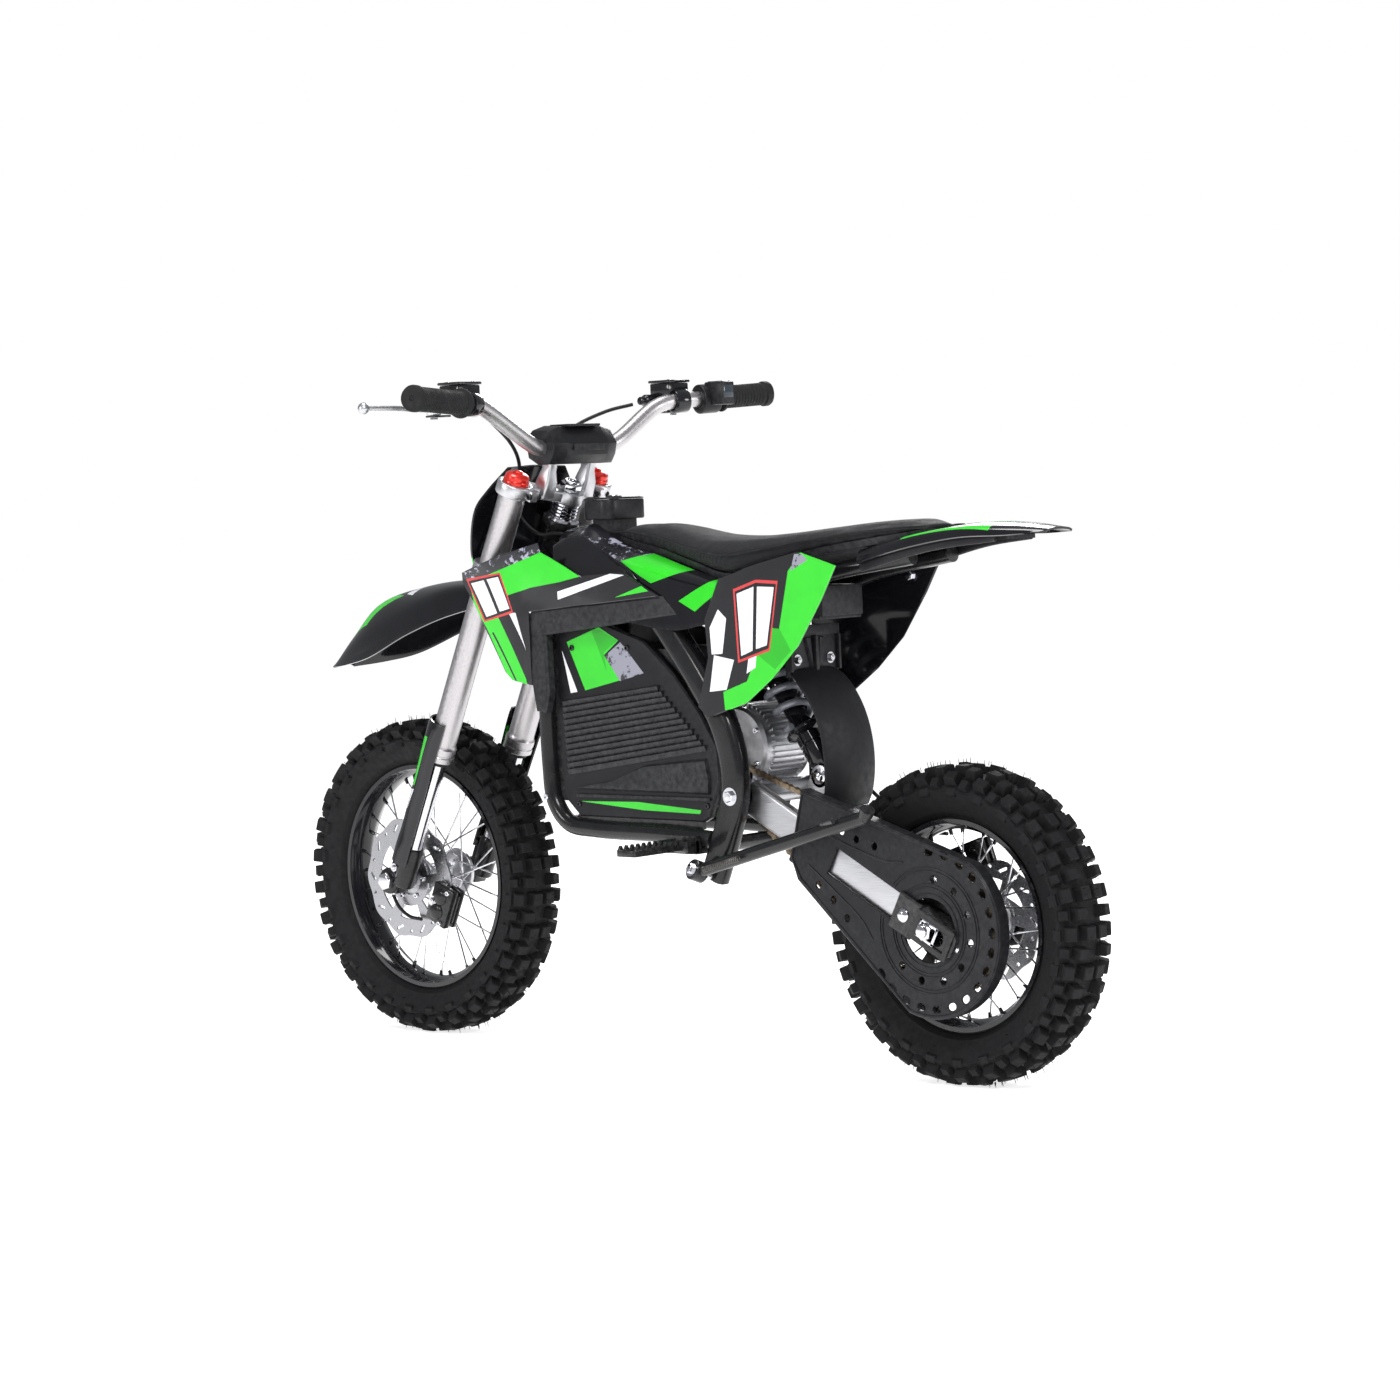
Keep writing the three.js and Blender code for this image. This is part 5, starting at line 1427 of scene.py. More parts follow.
def make_frame_bolts():
    chrome = [rod(V(PIVOT.x, -104, PIVOT.z), V(PIVOT.x, 104, PIVOT.z), 6.4)]
    for side in (1, -1):
        chrome += bolt(V(PIVOT.x, side * 100.6, PIVOT.z), ACROSS * side, 8, 5)
        chrome += bolt(V(SHOCK_TOP.x, side * 23, SHOCK_TOP.z), ACROSS * side, 6, 3)
        chrome.append(socket_bolt(V(152, side * (LOOP_Y + 11.4), 358), ACROSS * side, 4.5, 3))
        peg_pin = V(PEG_PIVOT.x, side * PEG_PIVOT.y, PEG_PIVOT.z)
        chrome.append(rod(peg_pin - V(27, 0, 0), peg_pin + V(27, 0, 0), 3, 16))
        chrome.append(turned(
            [[0, 0], [5, 0], [5, 2], [3, 3], [0, 3]], peg_pin + V(28, 0, 0), V(1, 0, 0), 20,
        ))
    chrome.append(rod(at_y(SHOCK_TOP, -26), at_y(SHOCK_TOP, 26), 5))
    chrome.append(rod(STAND_PIVOT - STAND_AXIS * 30, STAND_PIVOT + STAND_AXIS * 12, 5))
    chrome += bolt(STAND_PIVOT + STAND_AXIS * 10.4, STAND_AXIS, 7, 4)
    piece("frame_bolts", "frame", "chrome", chrome)


# ---------------------------------------------------------------- battery box and motor

BATTERY_OUTLINE = [
    (136, 592), (40, 594), (-30, 572), (-84, 526), (-130, 474), (-158, 430), (-160, 384), (-140, 336),
    (-128, 330),
    (102, 331), (132, 358),
]
LOUVRES = 12


def make_battery():
    for name, side in SIDES:
        inner, outer = side * 70, side * 80
        shapes = [plate(BATTERY_OUTLINE, *sorted((inner, outer)), edge=2.4)]
        for i in range(LOUVRES):
            f = (i + 0.5) / LOUVRES
            front = V(124 - 6 * f, 0, 490 - 102 * f)
            back = V(-52 - 90 * f, 0, 512 - 86 * f)
            outline = [(outer, 4.2), (outer + side * 4.6, 2.6), (outer + side * 1.2, -4.2), (outer, -4.2)]
            shapes.append(loft([[V(p.x, y, p.z + z) for y, z in outline] for p in (front, back)]))
        facet = [(104, 368), (36, 380), (-24, 404), (-138, 416), (-144, 384), (-142, 367)]
        shapes.append(loft([
            [V(x, outer, z) for x, z in facet],
            [V(x * 0.985 - 1, outer + side * 4, 388 + (z - 388) * 0.86) for x, z in facet],
        ]))
        ridge = [(104, 362), (-144, 363), (-143, 359), (104, 358)]
        shapes.append(loft([[V(x, outer + side * d, z) for x, z in ridge] for d in (0, 3.4)]))
        films = [
            ("green", [(114, 570), (52, 590), (16, 572), (44, 552), (16, 518), (82, 504)]),
            ("deep_green", [(66, 586), (52, 588), (18, 572), (44, 556), (40, 530)]),
            ("torn_grey", [(12, 570), (-29, 528), (16, 517), (42, 551)]),
            ("white", [(124, 559), (110, 500), (97, 502)]),
            ("green", [(99, 352), (-8, 354), (-124, 346), (-122, 341), (-20, 343)]),
        ]
        piece(f"battery_cover_{name}", "frame", "moulded", shapes, sharp=30, films=films)
        screws = [
            socket_bolt(V(x, outer, z), ACROSS * side, 4, 2.4)
            for x, z in ((102, 348), (-136, 352), (0, 562), (104, 562))
        ]
        piece(f"battery_screws_{name}", "frame", "gloss_black", screws)
    case = [block(V(-86, -66, 344), V(128, 66, 560))]
    for i in range(7):
        z = 366 + 28 * i
        case += [block(V(-89, -60, z), V(-85, 60, z + 10)), block(V(127, -60, z), V(130, 60, z + 10))]
    for i in range(5):
        x = -70 + 34 * i
        case.append(block(V(x, -56, 341), V(x + 12, 56, 345)))
    piece("battery_pack", "frame", "matte", case, ease=1.2)


def make_motor():
    fins = 44
    outline = []
    for i in range(fins):
        for step, r in ((0, MOTOR_R), (0.34, MOTOR_R), (0.42, MOTOR_R - 5), (0.92, MOTOR_R - 5)):
            a = 2 * math.pi * (i + step) / fins
            outline.append((MOTOR_CENTRE.x + r * math.cos(a), MOTOR_CENTRE.z + r * math.sin(a)))
    body = [
        plate(outline, -44, 22, edge=0.4),
        turned([[0, -58], [44, -58], [53, -54], [53, -44], [0, -44]], MOTOR_CENTRE, ACROSS, 72),
        turned([[0, 22], [53, 22], [53, 33], [50, 38], [0, 38]], MOTOR_CENTRE, ACROSS, 72),
        turned([[6.4, 38], [20, 38], [22, 36], [22, 20], [6.4, 20], [6.4, 38]], DRIVE_SHAFT, ACROSS, 40),
    ]
    piece("motor", "frame", "cast", body, sharp=30)
    screws = []
    for i in range(6):
        a = math.radians(30 + i * 60)
        screws.append(socket_bolt(MOTOR_CENTRE + V(44 * math.cos(a), 38, 44 * math.sin(a)), ACROSS, 4, 3.4))
        screws.append(socket_bolt(
            MOTOR_CENTRE + V(46 * math.cos(a), -56, 46 * math.sin(a)), -ACROSS, 4, 3.4,
        ))
    piece("motor_screws", "frame", "chrome", screws)
    wires = []
    for y in (-20, -12, -4):
        wires.append(tube(
            [V(-128, y, 478), V(-120, y - 4, 520), V(-140, y - 8, 560), V(-200, y, 596), V(-252, y, 612)],
            3.2, 40, 12,
        ))
    piece("motor_wires", "frame", "hose", wires)


# ---------------------------------------------------------------- shock absorber

SHOCK_AXIS = (SHOCK_TOP - SHOCK_BOTTOM).normalized()
SHOCK_LENGTH = (SHOCK_TOP - SHOCK_BOTTOM).length


def make_shock():
    eye = [[5.4, -13], [12, -13], [13, -12], [13, 12], [12, 13], [5.4, 13], [5.4, -13]]
    top = [turned(eye, SHOCK_TOP, ACROSS, 40)]
    profile = [
        [0, 130], [8, 130], [8, 226], [26, 227], [27, 228], [27, 233], [26, 234], [15, 236], [13, 240],
        [12, SHOCK_LENGTH - 8], [0, SHOCK_LENGTH - 8],
    ]
    top.append(turned(profile, SHOCK_BOTTOM, SHOCK_AXIS, 48))
    piece("shock_body", "shock_body", "gloss_black", top)
    low_eye = [[8.6, -13], [13, -13], [14, -12], [14, 12], [13, 13], [8.6, 13], [8.6, -13]]
    profile = [
        [0, 8], [12, 8], [17, 20], [18, 22], [18, 46], [16.6, 47], [16.6, 50], [18, 51], [18, 64], [26, 68],
        [27, 69],
        [27, 73], [26, 74], [16, 76], [14, 80], [14, 189], [8.6, 190], [8.6, 90], [0, 90],
    ]
    low = [turned(low_eye, SHOCK_BOTTOM, ACROSS, 40), turned(profile, SHOCK_BOTTOM, SHOCK_AXIS, 48)]
    piece("shock_rod", "shock_rod", "gloss_black", low)
    turns, steps = 5.5, 220
    forward = ACROSS.cross(SHOCK_AXIS)
    path = []
    for i in range(steps + 1):
        f = i / steps
        squeeze = f + 0.035 * math.sin(2 * math.pi * f)
        a = 2 * math.pi * turns * f
        path.append(
            SHOCK_BOTTOM + SHOCK_AXIS * (79.5 + 142 * squeeze) + (
                ACROSS * math.cos(a) + forward * math.sin(a)
            ) * 22.5
        )
    spring = piece("shock_spring", None, "spring", [sweep(path, round_section(5.2, 16), SHOCK_AXIS)])
    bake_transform(spring)


# ---------------------------------------------------------------- swingarm, chain and cover

COVER_R = 113
COVER_HEADING = math.degrees(math.atan2(-BEAM.z, -BEAM.x))


def make_swingarm():
    middle_y = 65
    shapes = [
        turned([[6.9, -73], [15, -73], [15, 73], [6.9, 73], [6.9, -73]], PIVOT, ACROSS, 48),
        rod(arm(70, 0, -59), arm(70, 0, 59), 12),
    ]
    for side in (1, -1):
        section = box_section(16, 44, 4, 4)
        path = [arm(s, 0, side * middle_y) for s in (4, 60, 150, 240, 304)]
        shapes.append(sweep(path, section))
        for s in (66, 74):
            shapes.append(turned(
                [[0, 0], [14, 0], [15, 2], [0, 2]], arm(s, 0, side * 57), -ACROSS * side, 32,
            ))
        shapes.append(beam(arm(72, 0, side * 21), at_y(SHOCK_BOTTOM, side * 21), 30, 5))
        shapes.append(turned(
            [[0, 0], [15, 0], [15, 5], [0, 5]], at_y(SHOCK_BOTTOM, side * 18.5), ACROSS * side, 40,
        ))
        shapes.append(loft([
            [arm(70, n, side * y) for y in (18.5, 23.5)] + [
                SHOCK_BOTTOM + V(dx, side * y, -6) for y in (23.5, 18.5)
            ]
            for n, dx in ((-9, 12), (9, 12))
        ]))
    piece("swingarm", "swingarm", "beam", shapes, ease=0.5, sharp=30)
    ends = []
    for side in (1, -1):
        y0, y1 = sorted((side * 57, side * 84))
        outline = [
            (296, 20), (352, 22), (386, 20), (396, 12), (396, -12), (386, -20), (352, -22), (296, -20),
        ]
        slot = arc(368, 0, 10, -90, 90, 10) + arc(336, 0, 10, 90, 270, 10)
        corners = [arm_xz(s, n) for s, n in outline]
        hole = [arm_xz(s, n) for s, n in slot]
        ends.append(plate(corners, y0, y1, [hole], 1.2))
    piece("swingarm_ends", "swingarm", "frame_paint", ends)
    silver = []
    for side in (1, -1):
        for s in (338, 366):
            silver.append(beam(arm(s - 2, 0, side * 85.4), arm(s + 2, 0, side * 85.4), 25, 2.6))
        for n in (-11, 11):
            silver.append(beam(arm(336, n, side * 85.4), arm(368, n, side * 85.4), 4, 2.6))
        silver.append(rod(arm(384, 0, side * 75), arm(408, 0, side * 75), 3, 20))
        silver.append(hexagon(arm(397, 0, side * 75), BEAM, 6, 5))
        silver += bolt(arm(300, 0, side * 79.2), ACROSS * side, 6, 4)
        silver += bolt(at_y(SHOCK_BOTTOM, side * 23.6), ACROSS * side, 7, 4)
    silver.append(rod(at_y(SHOCK_BOTTOM, -24), at_y(SHOCK_BOTTOM, 24), 5))
    piece("swingarm_adjusters", "swingarm", "chrome", silver, ease=0.3)
    axle = [
        rod(at_y(REAR_AXLE, -92), at_y(REAR_AXLE, 96), 8),
        rod(at_y(REAR_AXLE, HUB_FACE_Y + 7.8), at_y(REAR_AXLE, 56.6), 12),
        rod(at_y(REAR_AXLE, -56.6), at_y(REAR_AXLE, -HUB_FACE_Y - 3.8), 12),
        hexagon(at_y(REAR_AXLE, 84.4), ACROSS, 12, 9),
        hexagon(at_y(REAR_AXLE, -84.4), -ACROSS, 12, 9),
    ]
    piece("rear_axle", "swingarm", "chrome", axle, ease=0.4)
    make_caliper("rear_caliper", "swingarm", arm(288, 58, 0), -60, -38, REAR_DISC_Y, 58, 36, 0.34, -1)
    carrier = [plate(
        [arm_xz(s, n) for s, n in ((262, 34), (316, 34), (340, 16), (300, 14), (262, 20))], -66, -61,
        edge=0.8,
    )]
    piece("caliper_carrier", "swingarm", "cast", carrier)


def cover_outline(inset):
    r = COVER_R - inset
    return [
        arm_xz(88 + inset, 58 - inset),
        *arc(REAR_AXLE.x, REAR_AXLE.z, r, COVER_HEADING + 102, COVER_HEADING + 262, 60),
        arm_xz(132 + inset, -52 + inset),
        arm_xz(108 + inset, -30),
    ]


def rail_points(s0, s1, n0, n1):
    return [arm_xz(s, n) for s, n in ((s0, n1), (s1, n1), (s1, n0), (s0, n0))]


def make_chain_cover():
    axle_x, axle_z = REAR_AXLE.x, REAR_AXLE.z
    window = rail_points(172, 308, -19, 19)
    holes = [window, circle(axle_x, axle_z, 41, 48)]
    for i in range(17):
        a = math.radians(COVER_HEADING + 64 + i * 14.5)
        r = COVER_R - 13
        holes.append(oval(axle_x + r * math.cos(a), axle_z + r * math.sin(a), 13.5, 9.5, a + math.pi / 2))
    for i in range(8):
        a = math.radians(COVER_HEADING + 70 + i * 31)
        holes.append(circle(axle_x + 66 * math.cos(a), axle_z + 66 * math.sin(a), 5, 20))
    for s, n in ((196, 45), (226, 52), (170, 42), (150, 30), (196, -45), (226, -55), (166, -40)):
        p = arm(s, n, 0)
        holes.append(circle(p.x, p.z, 5, 20))
    y0, y1 = 75, 79
    shapes = [plate(cover_outline(0), y0, y1, holes, 0.9)]
    shapes.append(plate(cover_outline(0), 59, y0 + 1, [cover_outline(3.2)], 0.4))
    shapes.append(plate(cover_outline(1.5), y1 - 1, y1 + 1.6, [cover_outline(5.5)], 0.8))
    for r, gap in ((47, 26), (55, 22), (59, 21), (76, 17), (80, 16)):
        groove = [
            V(x, 79, z)
            for x, z in arc(axle_x, axle_z, r, COVER_HEADING + gap, COVER_HEADING + 360 - gap, 90)
        ]
        shapes.append(sweep(groove, box_section(2.4, 1.6, 0.7, 2)))
    for n0, n1 in ((27, 34), (-27, -34)):
        rib = [arm(140, n0 * 0.9, 79), arm(200, n1, 79), arm(250, n1 * 1.3, 79), arm(276, n1 * 1.7, 79)]
        shapes.append(sweep(smooth_path(rib, 30), box_section(2.4, 2.4, 0.8, 2)))
    piece("chain_cover", "swingarm", "moulded", shapes)
    casting = [
        plate(rail_points(292, 330, -25, 25), 79, 86, edge=2),
        plate(rail_points(326, 392, -21, 21), 84, 87, [rail_points(338, 384, -12, 12)], 1),
    ]
    piece("cover_bracket", "swingarm", "frame_paint", casting)
    button = [turned([[0, 0], [9, 0], [9, 1.5], [6, 4.4], [3, 5.2], [0, 5.2]], arm(310, 0, 86), ACROSS, 32)]
    piece("cover_button", "swingarm", "chrome", button)


def chain_path():
    """Points a pitch apart round the two sprockets."""
    line = DRIVE_SHAFT - REAR_AXLE
    heading = math.degrees(math.atan2(line.z, line.x))
    spread = math.degrees(math.acos((CHAIN_R - DRIVE_CHAIN_R) / line.length))
    loop = arc(REAR_AXLE.x, REAR_AXLE.z, CHAIN_R, heading + spread, heading + 360 - spread, 80)
    loop += arc(DRIVE_SHAFT.x, DRIVE_SHAFT.z, DRIVE_CHAIN_R, heading - spread, heading + spread, 40)
    points = [V(x, CHAIN_Y, z) for x, z in loop]
    points.append(points[0])
    lengths = [(b - a).length for a, b in zip(points, points[1:])]
    count = round(sum(lengths) / CHAIN_PITCH / 2) * 2
    pitch = sum(lengths) / count
    path, travelled, k = [], 0.0, 0
    for i in range(count):
        while travelled + lengths[k] < i * pitch:
            travelled += lengths[k]
            k += 1
        path.append(points[k].lerp(points[k + 1], (i * pitch - travelled) / lengths[k]))
    return path


def make_chain():
    path = chain_path()
    shapes = []
    for i, a in enumerate(path):
        b = path[(i + 1) % len(path)]
        along = (b - a).normalized()
        over = along.cross(ACROSS)
        waist = [(-3.6, 0), (-2.4, 2.8), (0, 3.6), (2.6, 2.8), (5, 2.2)]
        top = [a + along * s + over * h for s, h in waist]
        top += [b - along * s + over * h for s, h in reversed(waist[:4])]
        bottom = [a + along * s - over * h for s, h in waist[1:]]
        bottom += [b - along * s - over * h for s, h in reversed(waist[1:4])]
        outline = [*top, *reversed(bottom)]
        gap = 2.2 if i % 2 else 3.3
        for side in (1, -1):
            shapes.append(loft([[p + ACROSS * side * (gap + d) for p in outline] for d in (0, 0.9)]))
        shapes.append(rod(a - ACROSS * 4.6, a + ACROSS * 4.6, 1.7, 10))
        shapes.append(rod(a - ACROSS * 2.1, a + ACROSS * 2.1, 2.9, 12))
    chain = piece("chain", None, "chain_steel", shapes)
    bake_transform(chain)


# ---------------------------------------------------------------- stand and pegs


def make_stand_and_pegs():
    a = STAND_AXIS
    path = smooth_path([
        STAND_PIVOT + V(-10, 0, 2), STAND_PIVOT.lerp(STAND_TIP, 0.3), STAND_PIVOT.lerp(STAND_TIP, 0.7),
        STAND_TIP.copy(),
    ], 30)
    shapes = [
        sweep(path, round_section(9, 28)),
        turned(
            [[5.4, -9], [13, -9], [14, -8], [14, 9], [13, 10], [5.4, 10], [5.4, -9]], STAND_PIVOT, a, 40,
        ),
        loft([
            ring(STAND_TIP + V(2, 0, -2), V(-9, 4, 12), 8, 28),
            ring(STAND_TIP + V(-4, 2, 6), V(-9, 4, 12), 9.5, 28),
            ring(STAND_TIP + V(-7, 3, 10), V(-9, 4, 12), 9.5, 28),
        ]),
        loft([
            ring(path[22] + V(0, 3, 8), V(-2, 1, 0.4), 4, 16),
            ring(path[22] + V(-26, 12, 14), V(-2, 1, 0.4), 3.6, 16),
        ]),
    ]
    piece("side_stand", "side_stand", "frame_paint", shapes)
    spring_path = []
    for i in range(160):
        f = i / 159
        turn = 2 * math.pi * 20 * f
        centre = STAND_PIVOT.lerp(STAND_TIP, 0.08 + 0.22 * f) + V(0, 15, -2)
        spring_path.append(centre + (ACROSS * math.cos(turn) + UP * math.sin(turn)) * 3.4)
    piece(
        "stand_spring", "side_stand", "dark_steel", [sweep(spring_path, round_section(0.9, 8), V(1, 0, 0))],
    )
    for name, side in SIDES:
        p = PEG_PIVOT
        base = [rod(V(p.x - 23, side * p.y, p.z), V(p.x + 23, side * p.y, p.z), 7)]
        for x in (-14.5, 14.5):
            base.append(side_block(
                side, (p.x + x - 2.4, p.x + x + 2.4), (p.y + 1, 210), (p.z - 4, p.z + 5),
            ))
        for y in (122, 152, 182, 209):
            base.append(side_block(side, (p.x - 14, p.x + 14), (y - 1.8, y + 1.8), (p.z - 4, p.z + 4)))
        for i in range(8):
            y = side * (128 + i * 11)
            for x in (-14.5, 14.5):
                foot = V(p.x + x, y, p.z + 4)
                tooth = [[foot + V(dx, dy, 0) for dx, dy in ((-2.4, -4), (2.4, -4), (2.4, 4), (-2.4, 4))],
                         [foot + V(dx, dy, 6) for dx, dy in ((-2, -1.4), (2, -1.4), (2, 1.4), (-2, 1.4))]]
                base.append(loft(tooth))
        piece(f"footpeg_{name}", f"footpeg_{name}", "frame_paint", base, ease=0.7)


# ---------------------------------------------------------------- bodywork

SHROUD_OUTLINE = [
    (-86, 632), (-19, 665), (59, 661), (128, 694), (133, 707), (200, 691), (261, 669), (262, 656),
    (248, 628),
    (234, 590), (208, 531), (196, 519), (162, 512), (158, 613),
]


def shroud_depth(x, z):
    """The shroud flares outwards towards its front top corner, and folds in at its lower edge."""
    forward = min(1, max(0, (x - 50) / 206))
    upward = min(1, max(0, (z - 500) / 180))
    flare = 34 * forward * (0.25 + 0.75 * forward) * (0.2 + 0.8 * upward)
    fold = 5 * min(1, max(0, (z - 560 - 0.28 * (x + 80)) / 40)) if x < 165 else 5
    return 100 + flare + fold * (1 - forward)


def make_shrouds():
    films = [
        ("green", [(250, 656), (128, 695), (59, 660), (97, 653), (150, 646), (246, 622)]),
        ("splatter", [(268, 668), (250, 655), (128, 694), (134, 712), (240, 700)]),
        ("grey_film", [(134, 710), (122, 703), (56, 658), (60, 664)]),
        (
            "green",
            [
                (250, 628), (231, 591), (206, 530), (192, 512), (168, 512), (170, 522), (207, 602),
                (226, 640),
            ],
        ),
        ("gloss_black", [(223, 585), (220, 586), (184, 512), (187, 512)]),
        ("white", [(-24, 661), (2, 663), (102, 640), (103, 629)]),
        ("green", [(-5, 631), (-55, 646), (-67, 639)]),
        ("white", [(190, 612), (178, 612), (166, 560), (171, 574)]),
        ("red_film", [(254, 660), (198, 668), (182, 612), (234, 600)]),
        ("gloss_black", [(251, 657), (200, 665), (185, 615), (232, 603)]),
        ("white", [(247, 654), (226, 658), (210, 612), (229, 607)]),
        ("white", [(221, 659), (202, 662), (188, 618), (205, 614)]),
    ]
    for name, side in SIDES:
        shell = panel(SHROUD_OUTLINE, shroud_depth, 3, side)
        piece(f"shroud_{name}", "frame", "gloss_black", [shell], films=films)
        ledge = [(160, 614), (164, 597), (159, 578), (-114, 607), (-88, 632), (-70, 631)]
        corner = [(176, 610), (165, 516), (158, 476), (140, 474), (132, 500), (134, 596), (150, 612)]
        inner = [
            plate(ledge, *sorted((side * 86, side * 103)), edge=3),
            plate(corner, *sorted((side * 84, side * 102)), edge=3.5),
        ]
        piece(f"shroud_ledge_{name}", "frame", "matte", inner)
        hollow = [(60, 652), (-40, 655), (-22, 668), (78, 714), (118, 712), (134, 702), (128, 684)]
        scoop = panel(hollow, lambda x, z: 99 - 0.42 * max(0, z - 655), 2, side)
        piece(f"shroud_scoop_{name}", "frame", "gloss_black", [scoop])


def make_tank():
    rows = saddle([
        (142, [[0, 722], [30, 721], [50, 714], [63, 690], [70, 662]]),
        (100, [[0, 728], [36, 724], [60, 706], [78, 680], [90, 640]]),
        (50, [[0, 700], [36, 702], [66, 692], [86, 664], [96, 608]]),
        (-30, [[0, 682], [52, 684], [78, 676], [92, 650], [98, 596]]),
        (-110, [[0, 661], [66, 663], [84, 657], [94, 636], [99, 586]]),
        (-185, [[0, 640], [78, 645], [90, 640], [96, 622], [99, 598]]),
    ])
    films = [
        ("splatter", [(104, 734), (104, 708), (10, 676), (-44, 690), (-20, 700), (60, 716)]),
        ("green", [(4, 679), (-66, 696), (-128, 668), (-63, 649)]),
        ("green", [(-116, 625), (-168, 652), (-190, 640), (-146, 611)]),
    ]
    piece("tank_cover", "frame", "gloss_black", [sheet(grid(rows, 50, 50), 3)], films=films)
    outline = [(V(90 + x, y, 0)) for x, y in box_section(56, 80, 17, 6)]
    shape = loft([[p + UP * z for p in outline] for z in (735, 762)])
    lid = loft([
        [V(90 + (p.x - 90) * s, p.y * s, z) for p in outline]
        for z, s in ((762.4, 1), (764, 0.99), (765, 0.95))
    ])
    piece("switch_box", "frame", "moulded", [shape, lid], ease=2)
    base = [turned(
        [[7.6, 764], [11, 764], [11, 766], [9.5, 767], [7.6, 767], [7.6, 764]], V(90, 0, 0), UP, 40,
    )]
    base.append(loft([[V(90 + x, y, z) for x, y in box_section(40, 60, 12, 5)] for z in (716, 735.4)]))
    piece("switch_collar", "frame", "matte", base)
    cap = turned(
        [[0, 761], [7, 761], [7, 767.2], [6.2, 768], [3, 768], [2.6, 767.4], [0, 767.4]], V(90, 0, 0), UP,
        40,
    )
    piece("power_button", "power_button", "chrome", [cap])


SIDE_OUTLINE = [
    (-196, 655), (-262, 672), (-335, 687), (-398, 668), (-372, 625), (-330, 566), (-284, 524), (-238, 492),
    (-168, 471), (-151, 486), (-172, 551), (-168, 601),
]


def make_side_plates():
    films = [
        (
            "green",
            [
                (-318, 662), (-345, 692), (-402, 672), (-376, 624), (-330, 562), (-286, 520), (-236, 488),
                (-200, 482), (-198, 506), (-240, 520), (-262, 560), (-299, 587),
            ],
        ),
        ("deep_green", [(-266, 592), (-300, 588), (-318, 560), (-290, 536), (-258, 556)]),
        ("white", [(-178, 590), (-194, 614), (-208, 602), (-199, 556), (-180, 555)]),
        ("white", [(-184, 554), (-219, 548), (-204, 509), (-174, 506)]),
        ("white", [(-250, 576), (-262, 576), (-256, 538), (-240, 530)]),
        ("red_film", [(-222, 640), (-262, 652), (-300, 650), (-282, 560), (-226, 544)]),
        ("gloss_black", [(-225, 637), (-262, 648), (-297, 646), (-280, 563), (-229, 548)]),
        ("white", [(-228, 634), (-258, 643), (-252, 560), (-232, 553)]),
        ("white", [(-264, 643), (-293, 642), (-277, 567), (-258, 562)]),
        ("torn_grey", [(-322, 662), (-330, 684), (-343, 684), (-352, 676)]),
    ]
    for name, side in SIDES:
        depth = [plate(SIDE_OUTLINE, *sorted((side * 104, side * 108)), edge=1.4)]
        piece(f"side_plate_{name}", "frame", "gloss_black", depth, films=films)
        back = [beam(V(-196, side * 98, 640), V(-330, side * 98, 668), 10, 12)]
        piece(f"side_plate_mount_{name}", "frame", "matte", back, ease=1.5)


def seat_rings():
    stations = [
        (58, 30, 721, 712), (20, 42, 727, 704), (-40, 54, 720, 693), (-113, 70, 706, 675),
        (-185, 84, 703, 659),
        (-260, 86, 706, 672), (-335, 84, 712, 688), (-413, 70, 718, 699), (-470, 54, 719, 706),
        (-492, 40, 716, 710),
    ]
    rings = []
    for x, half, top, bottom in stations:
        mid = bottom + (top - bottom) * 0.55
        section = [
            (-half, bottom), (-half, mid), (-0.8 * half, top - 4), (-0.35 * half, top), (0.35 * half, top),
            (0.8 * half, top - 4), (half, mid), (half, bottom),
        ]
        rings.append([V(x, y * 0.97, z) for y, z in section])
    columns = [smooth_path(list(column), 48) for column in zip(*rings)]
    return [list(r) for r in zip(*columns)]


SEAT_VOXEL = 0.005
SEAT_PRESSURE = 4
CLOTH_FRAMES = 20
MOST_SWELL = 0.0035


def make_seat():
    """The seat is a padded cover: its shell is inflated a little, as foam under vinyl, then seamed."""
    obj = piece("seat", None, "seat_vinyl", [loft(seat_rings())], ease=2)
    remesh = obj.modifiers.new("remesh", "REMESH")
    remesh.mode = "VOXEL"
    remesh.voxel_size = SEAT_VOXEL
    apply_modifiers(obj)
    rest = [v.co.copy() for v in obj.data.vertices]
    cloth = obj.modifiers.new("cloth", "CLOTH")
    cloth.settings.use_pressure = True
    cloth.settings.uniform_pressure_force = SEAT_PRESSURE
    cloth.settings.effector_weights.gravity = 0
    cloth.point_cache.frame_end = CLOTH_FRAMES
    for frame_number in range(1, CLOTH_FRAMES + 1):
        scene.frame_set(frame_number)
    apply_modifiers(obj)
    for vertex, start in zip(obj.data.vertices, rest):
        shift = vertex.co - start
        if shift.length > MOST_SWELL:
            shift *= MOST_SWELL / shift.length
        if shift.z < 0:
            shift.z = 0
        vertex.co = start + shift
    scene.frame_set(1)
    smooth = obj.modifiers.new("smooth", "SMOOTH")
    smooth.factor = 0.5
    smooth.iterations = 6
    rounded = obj.modifiers.new("rounded", "SUBSURF")
    rounded.levels = 1
    rounded.render_levels = 1
    apply_modifiers(obj)
    for polygon in obj.data.polygons:
        polygon.use_smooth = True
    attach(obj, "frame")
    rings = seat_rings()
    piping = []
    for column in (1, 6):
        line = [r[column] + V(0, 0.5 if column == 6 else -0.5, 0) for r in rings]
        piping.append(sweep(line, round_section(1.3, 10)))
    piece("seat_piping", "frame", "rubber", piping)
    tray = [
        [
            V(r[0].x, r[0].y * 0.94, r[0].z + 1), V(r[0].x, r[0].y * 0.9, r[0].z - 8),
            V(r[7].x, r[7].y * 0.9, r[7].z - 8), V(r[7].x, r[7].y * 0.94, r[7].z + 1),
        ]
        for r in rings[1:-1]
    ]
    piece("seat_base", "frame", "matte", [loft(tray)])


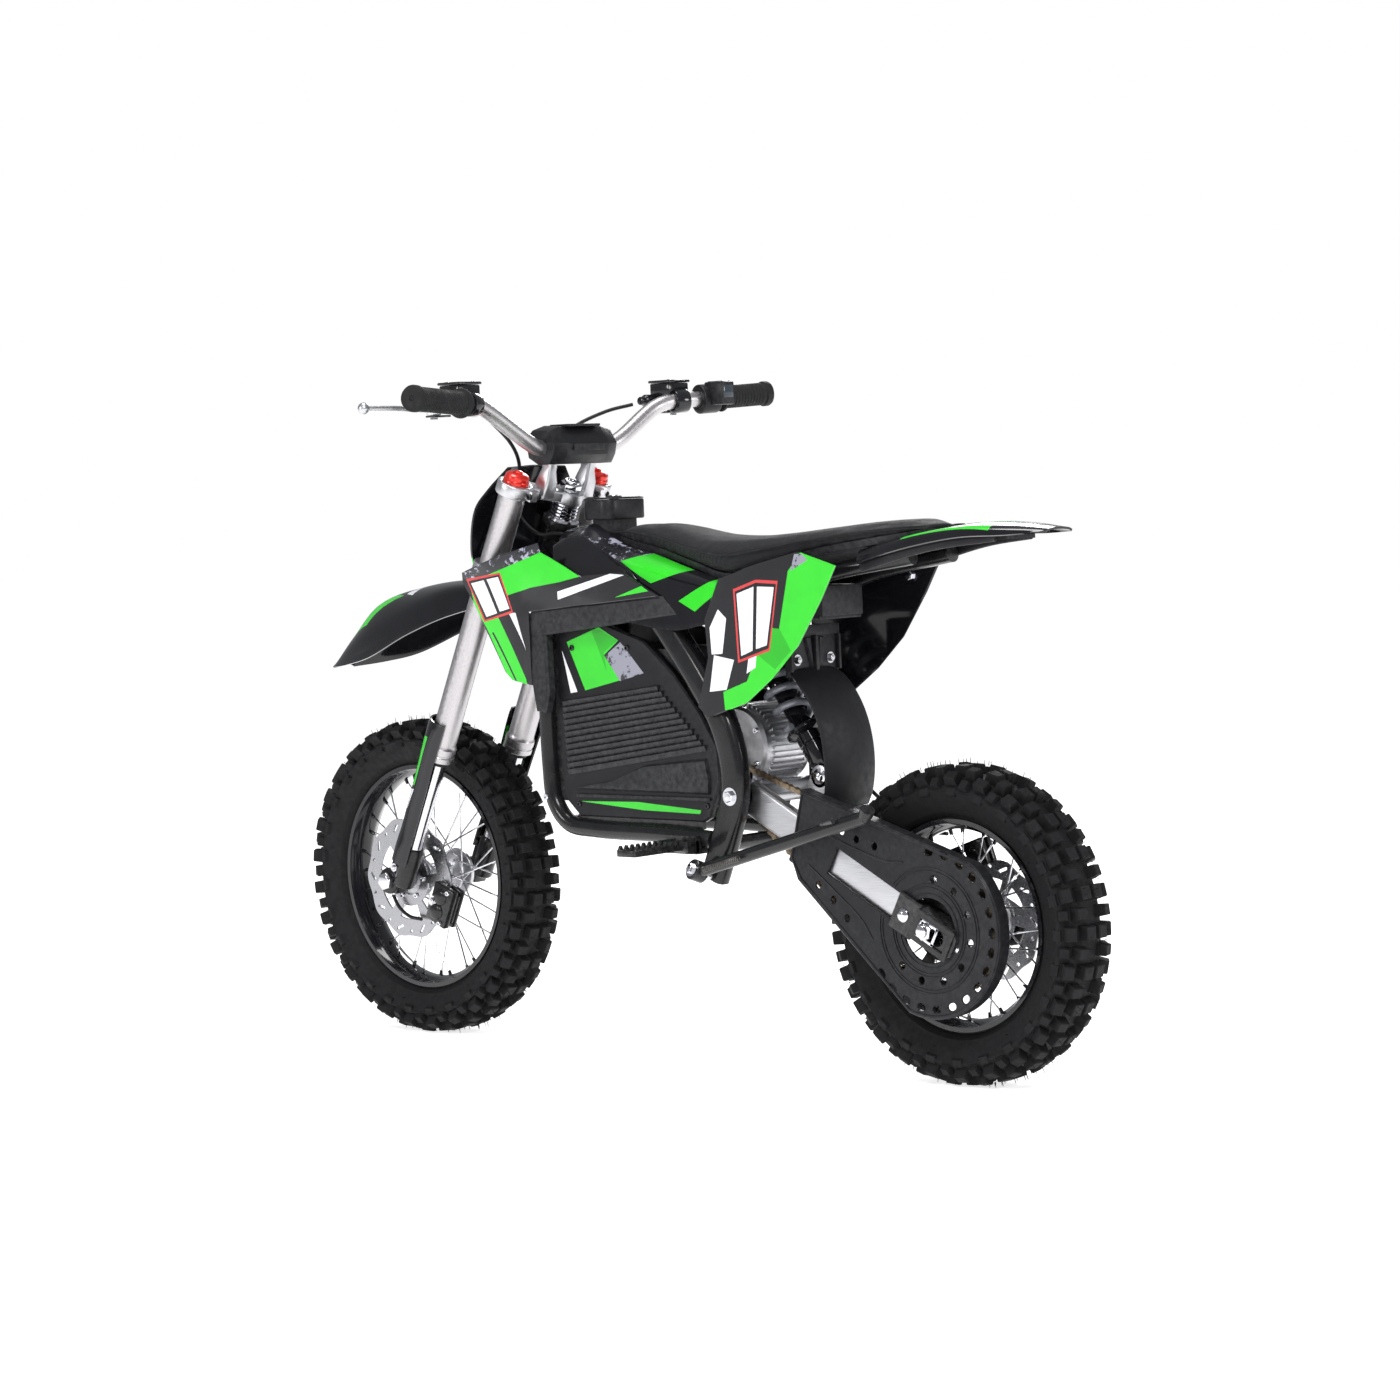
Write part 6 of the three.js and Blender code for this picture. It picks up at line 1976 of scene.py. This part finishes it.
def apply_modifiers(obj):
    evaluated = obj.evaluated_get(bpy.context.evaluated_depsgraph_get())
    mesh = bpy.data.meshes.new_from_object(evaluated)
    obj.modifiers.clear()
    old = obj.data
    obj.data = mesh
    bpy.data.meshes.remove(old)


def make_rear_fender():
    rows = saddle([
        (-400, [[0, 685], [40, 685], [60, 682], [66, 668]]),
        (-450, [[0, 695], [42, 695], [63, 692], [69, 680]]),
        (-500, [[0, 705], [40, 704], [58, 702], [65, 690]]),
        (-560, [[0, 713], [34, 712], [52, 707], [57, 698]]),
        (-620, [[0, 711], [26, 710], [42, 705], [45, 699]]),
        (-672, [[0, 705], [12, 704.5], [22, 703], [26, 701]]),
    ])
    films = []
    for side in (1, -1):
        films.append((
            "green", [(-470, side * 64), (-600, side * 50), (-600, side * 38), (-474, side * 50)],
        ))
        films.append(("green", [(-530, side * 30), (-600, side * 24), (-612, side * 6), (-540, side * 4)]))
        films.append((
            "torn_grey", [(-600, side * 36), (-650, side * 24), (-640, side * 2), (-604, side * 2)],
        ))
    piece("rear_fender", "frame", "gloss_black", [sheet(grid(rows, 40, 40), 3)], films=films, plane=(0, 1))
    under = []
    for side in (1, -1):
        path = [
            V(-400, side * 58, 664), V(-450, side * 60, 676), V(-520, side * 52, 690),
            V(-600, side * 36, 698),
        ]
        under.append(sweep(smooth_path(path, 24), box_section(8, 12, 3, 3)))
    under.append(block(V(-612, -30, 694), V(-590, 30, 702)))
    piece("fender_rails", "frame", "matte", under)
    rows = [
        [V(x + 8 * f * f, f * half, z) for f in (-1, -0.5, 0, 0.5, 1)]
        for x, z, half in (
            (-264, 530, 44), (-284, 512, 50), (-306, 482, 50), (-319, 448, 50), (-324, 408, 50),
            (-321, 370, 48), (-314, 350, 46),
        )
    ]
    guard = [sheet(grid(rows, 40, 16), -3)]
    guard += [
        block(V(-262, -50, 522), V(-256, 50, 586)),
        block(V(-266, -50, 574), V(-261, 50, 588)),
        block(V(-270, -3, 524), V(-261, 3, 574)),
        block(V(-268, -50, 528), V(-261, -46, 574)),
        block(V(-268, 46, 528), V(-261, 50, 574)),
    ]
    for side in (1, -1):
        guard.append(loft([
            [V(-262, side * 8, 572), V(-262, side * 20, 572), V(-262, side * 5, 526)],
            [V(-267, side * 9, 571), V(-267, side * 18, 571), V(-267, side * 5, 530)],
        ]))
    piece("mud_guard", "frame", "matte", guard, ease=0.8)
    screws = []
    for side in (1, -1):
        screws += bolt(V(-262.4, side * 33, 543), V(-1, 0, 0), 5, 4)
    piece("mud_guard_bolts", "frame", "chrome", screws)
    piece("side_plate_bolt", "frame", "chrome", bolt(V(-348, -103.6, 647), ACROSS, 6, 4))


def make_controller():
    shapes = [block(V(-316, -41, 600), V(-254, 41, 640))]
    for i in range(9):
        x = -312 + 6.6 * i
        shapes.append(block(V(x, -42, 596), V(x + 2.6, 42, 601)))
    piece("controller", "frame", "matte", shapes, ease=1.4)


make_camera()
make_studio()
make_hoses()
make_wheels()
make_fork()
make_caliper(
    "front_caliper", "fork_slider", fork(0, -64, 0), 38, 63, FRONT_DISC_Y, 58, 40, RAKE - math.pi * 0.777,
    1,
)
make_clamps()
make_controls()
make_number_plate()
make_front_fender()
make_frame()
make_battery()
make_motor()
make_shock()
make_swingarm()
make_chain_cover()
make_chain()
make_stand_and_pegs()
make_shrouds()
make_tank()
make_side_plates()
make_seat()
make_rear_fender()
make_controller()
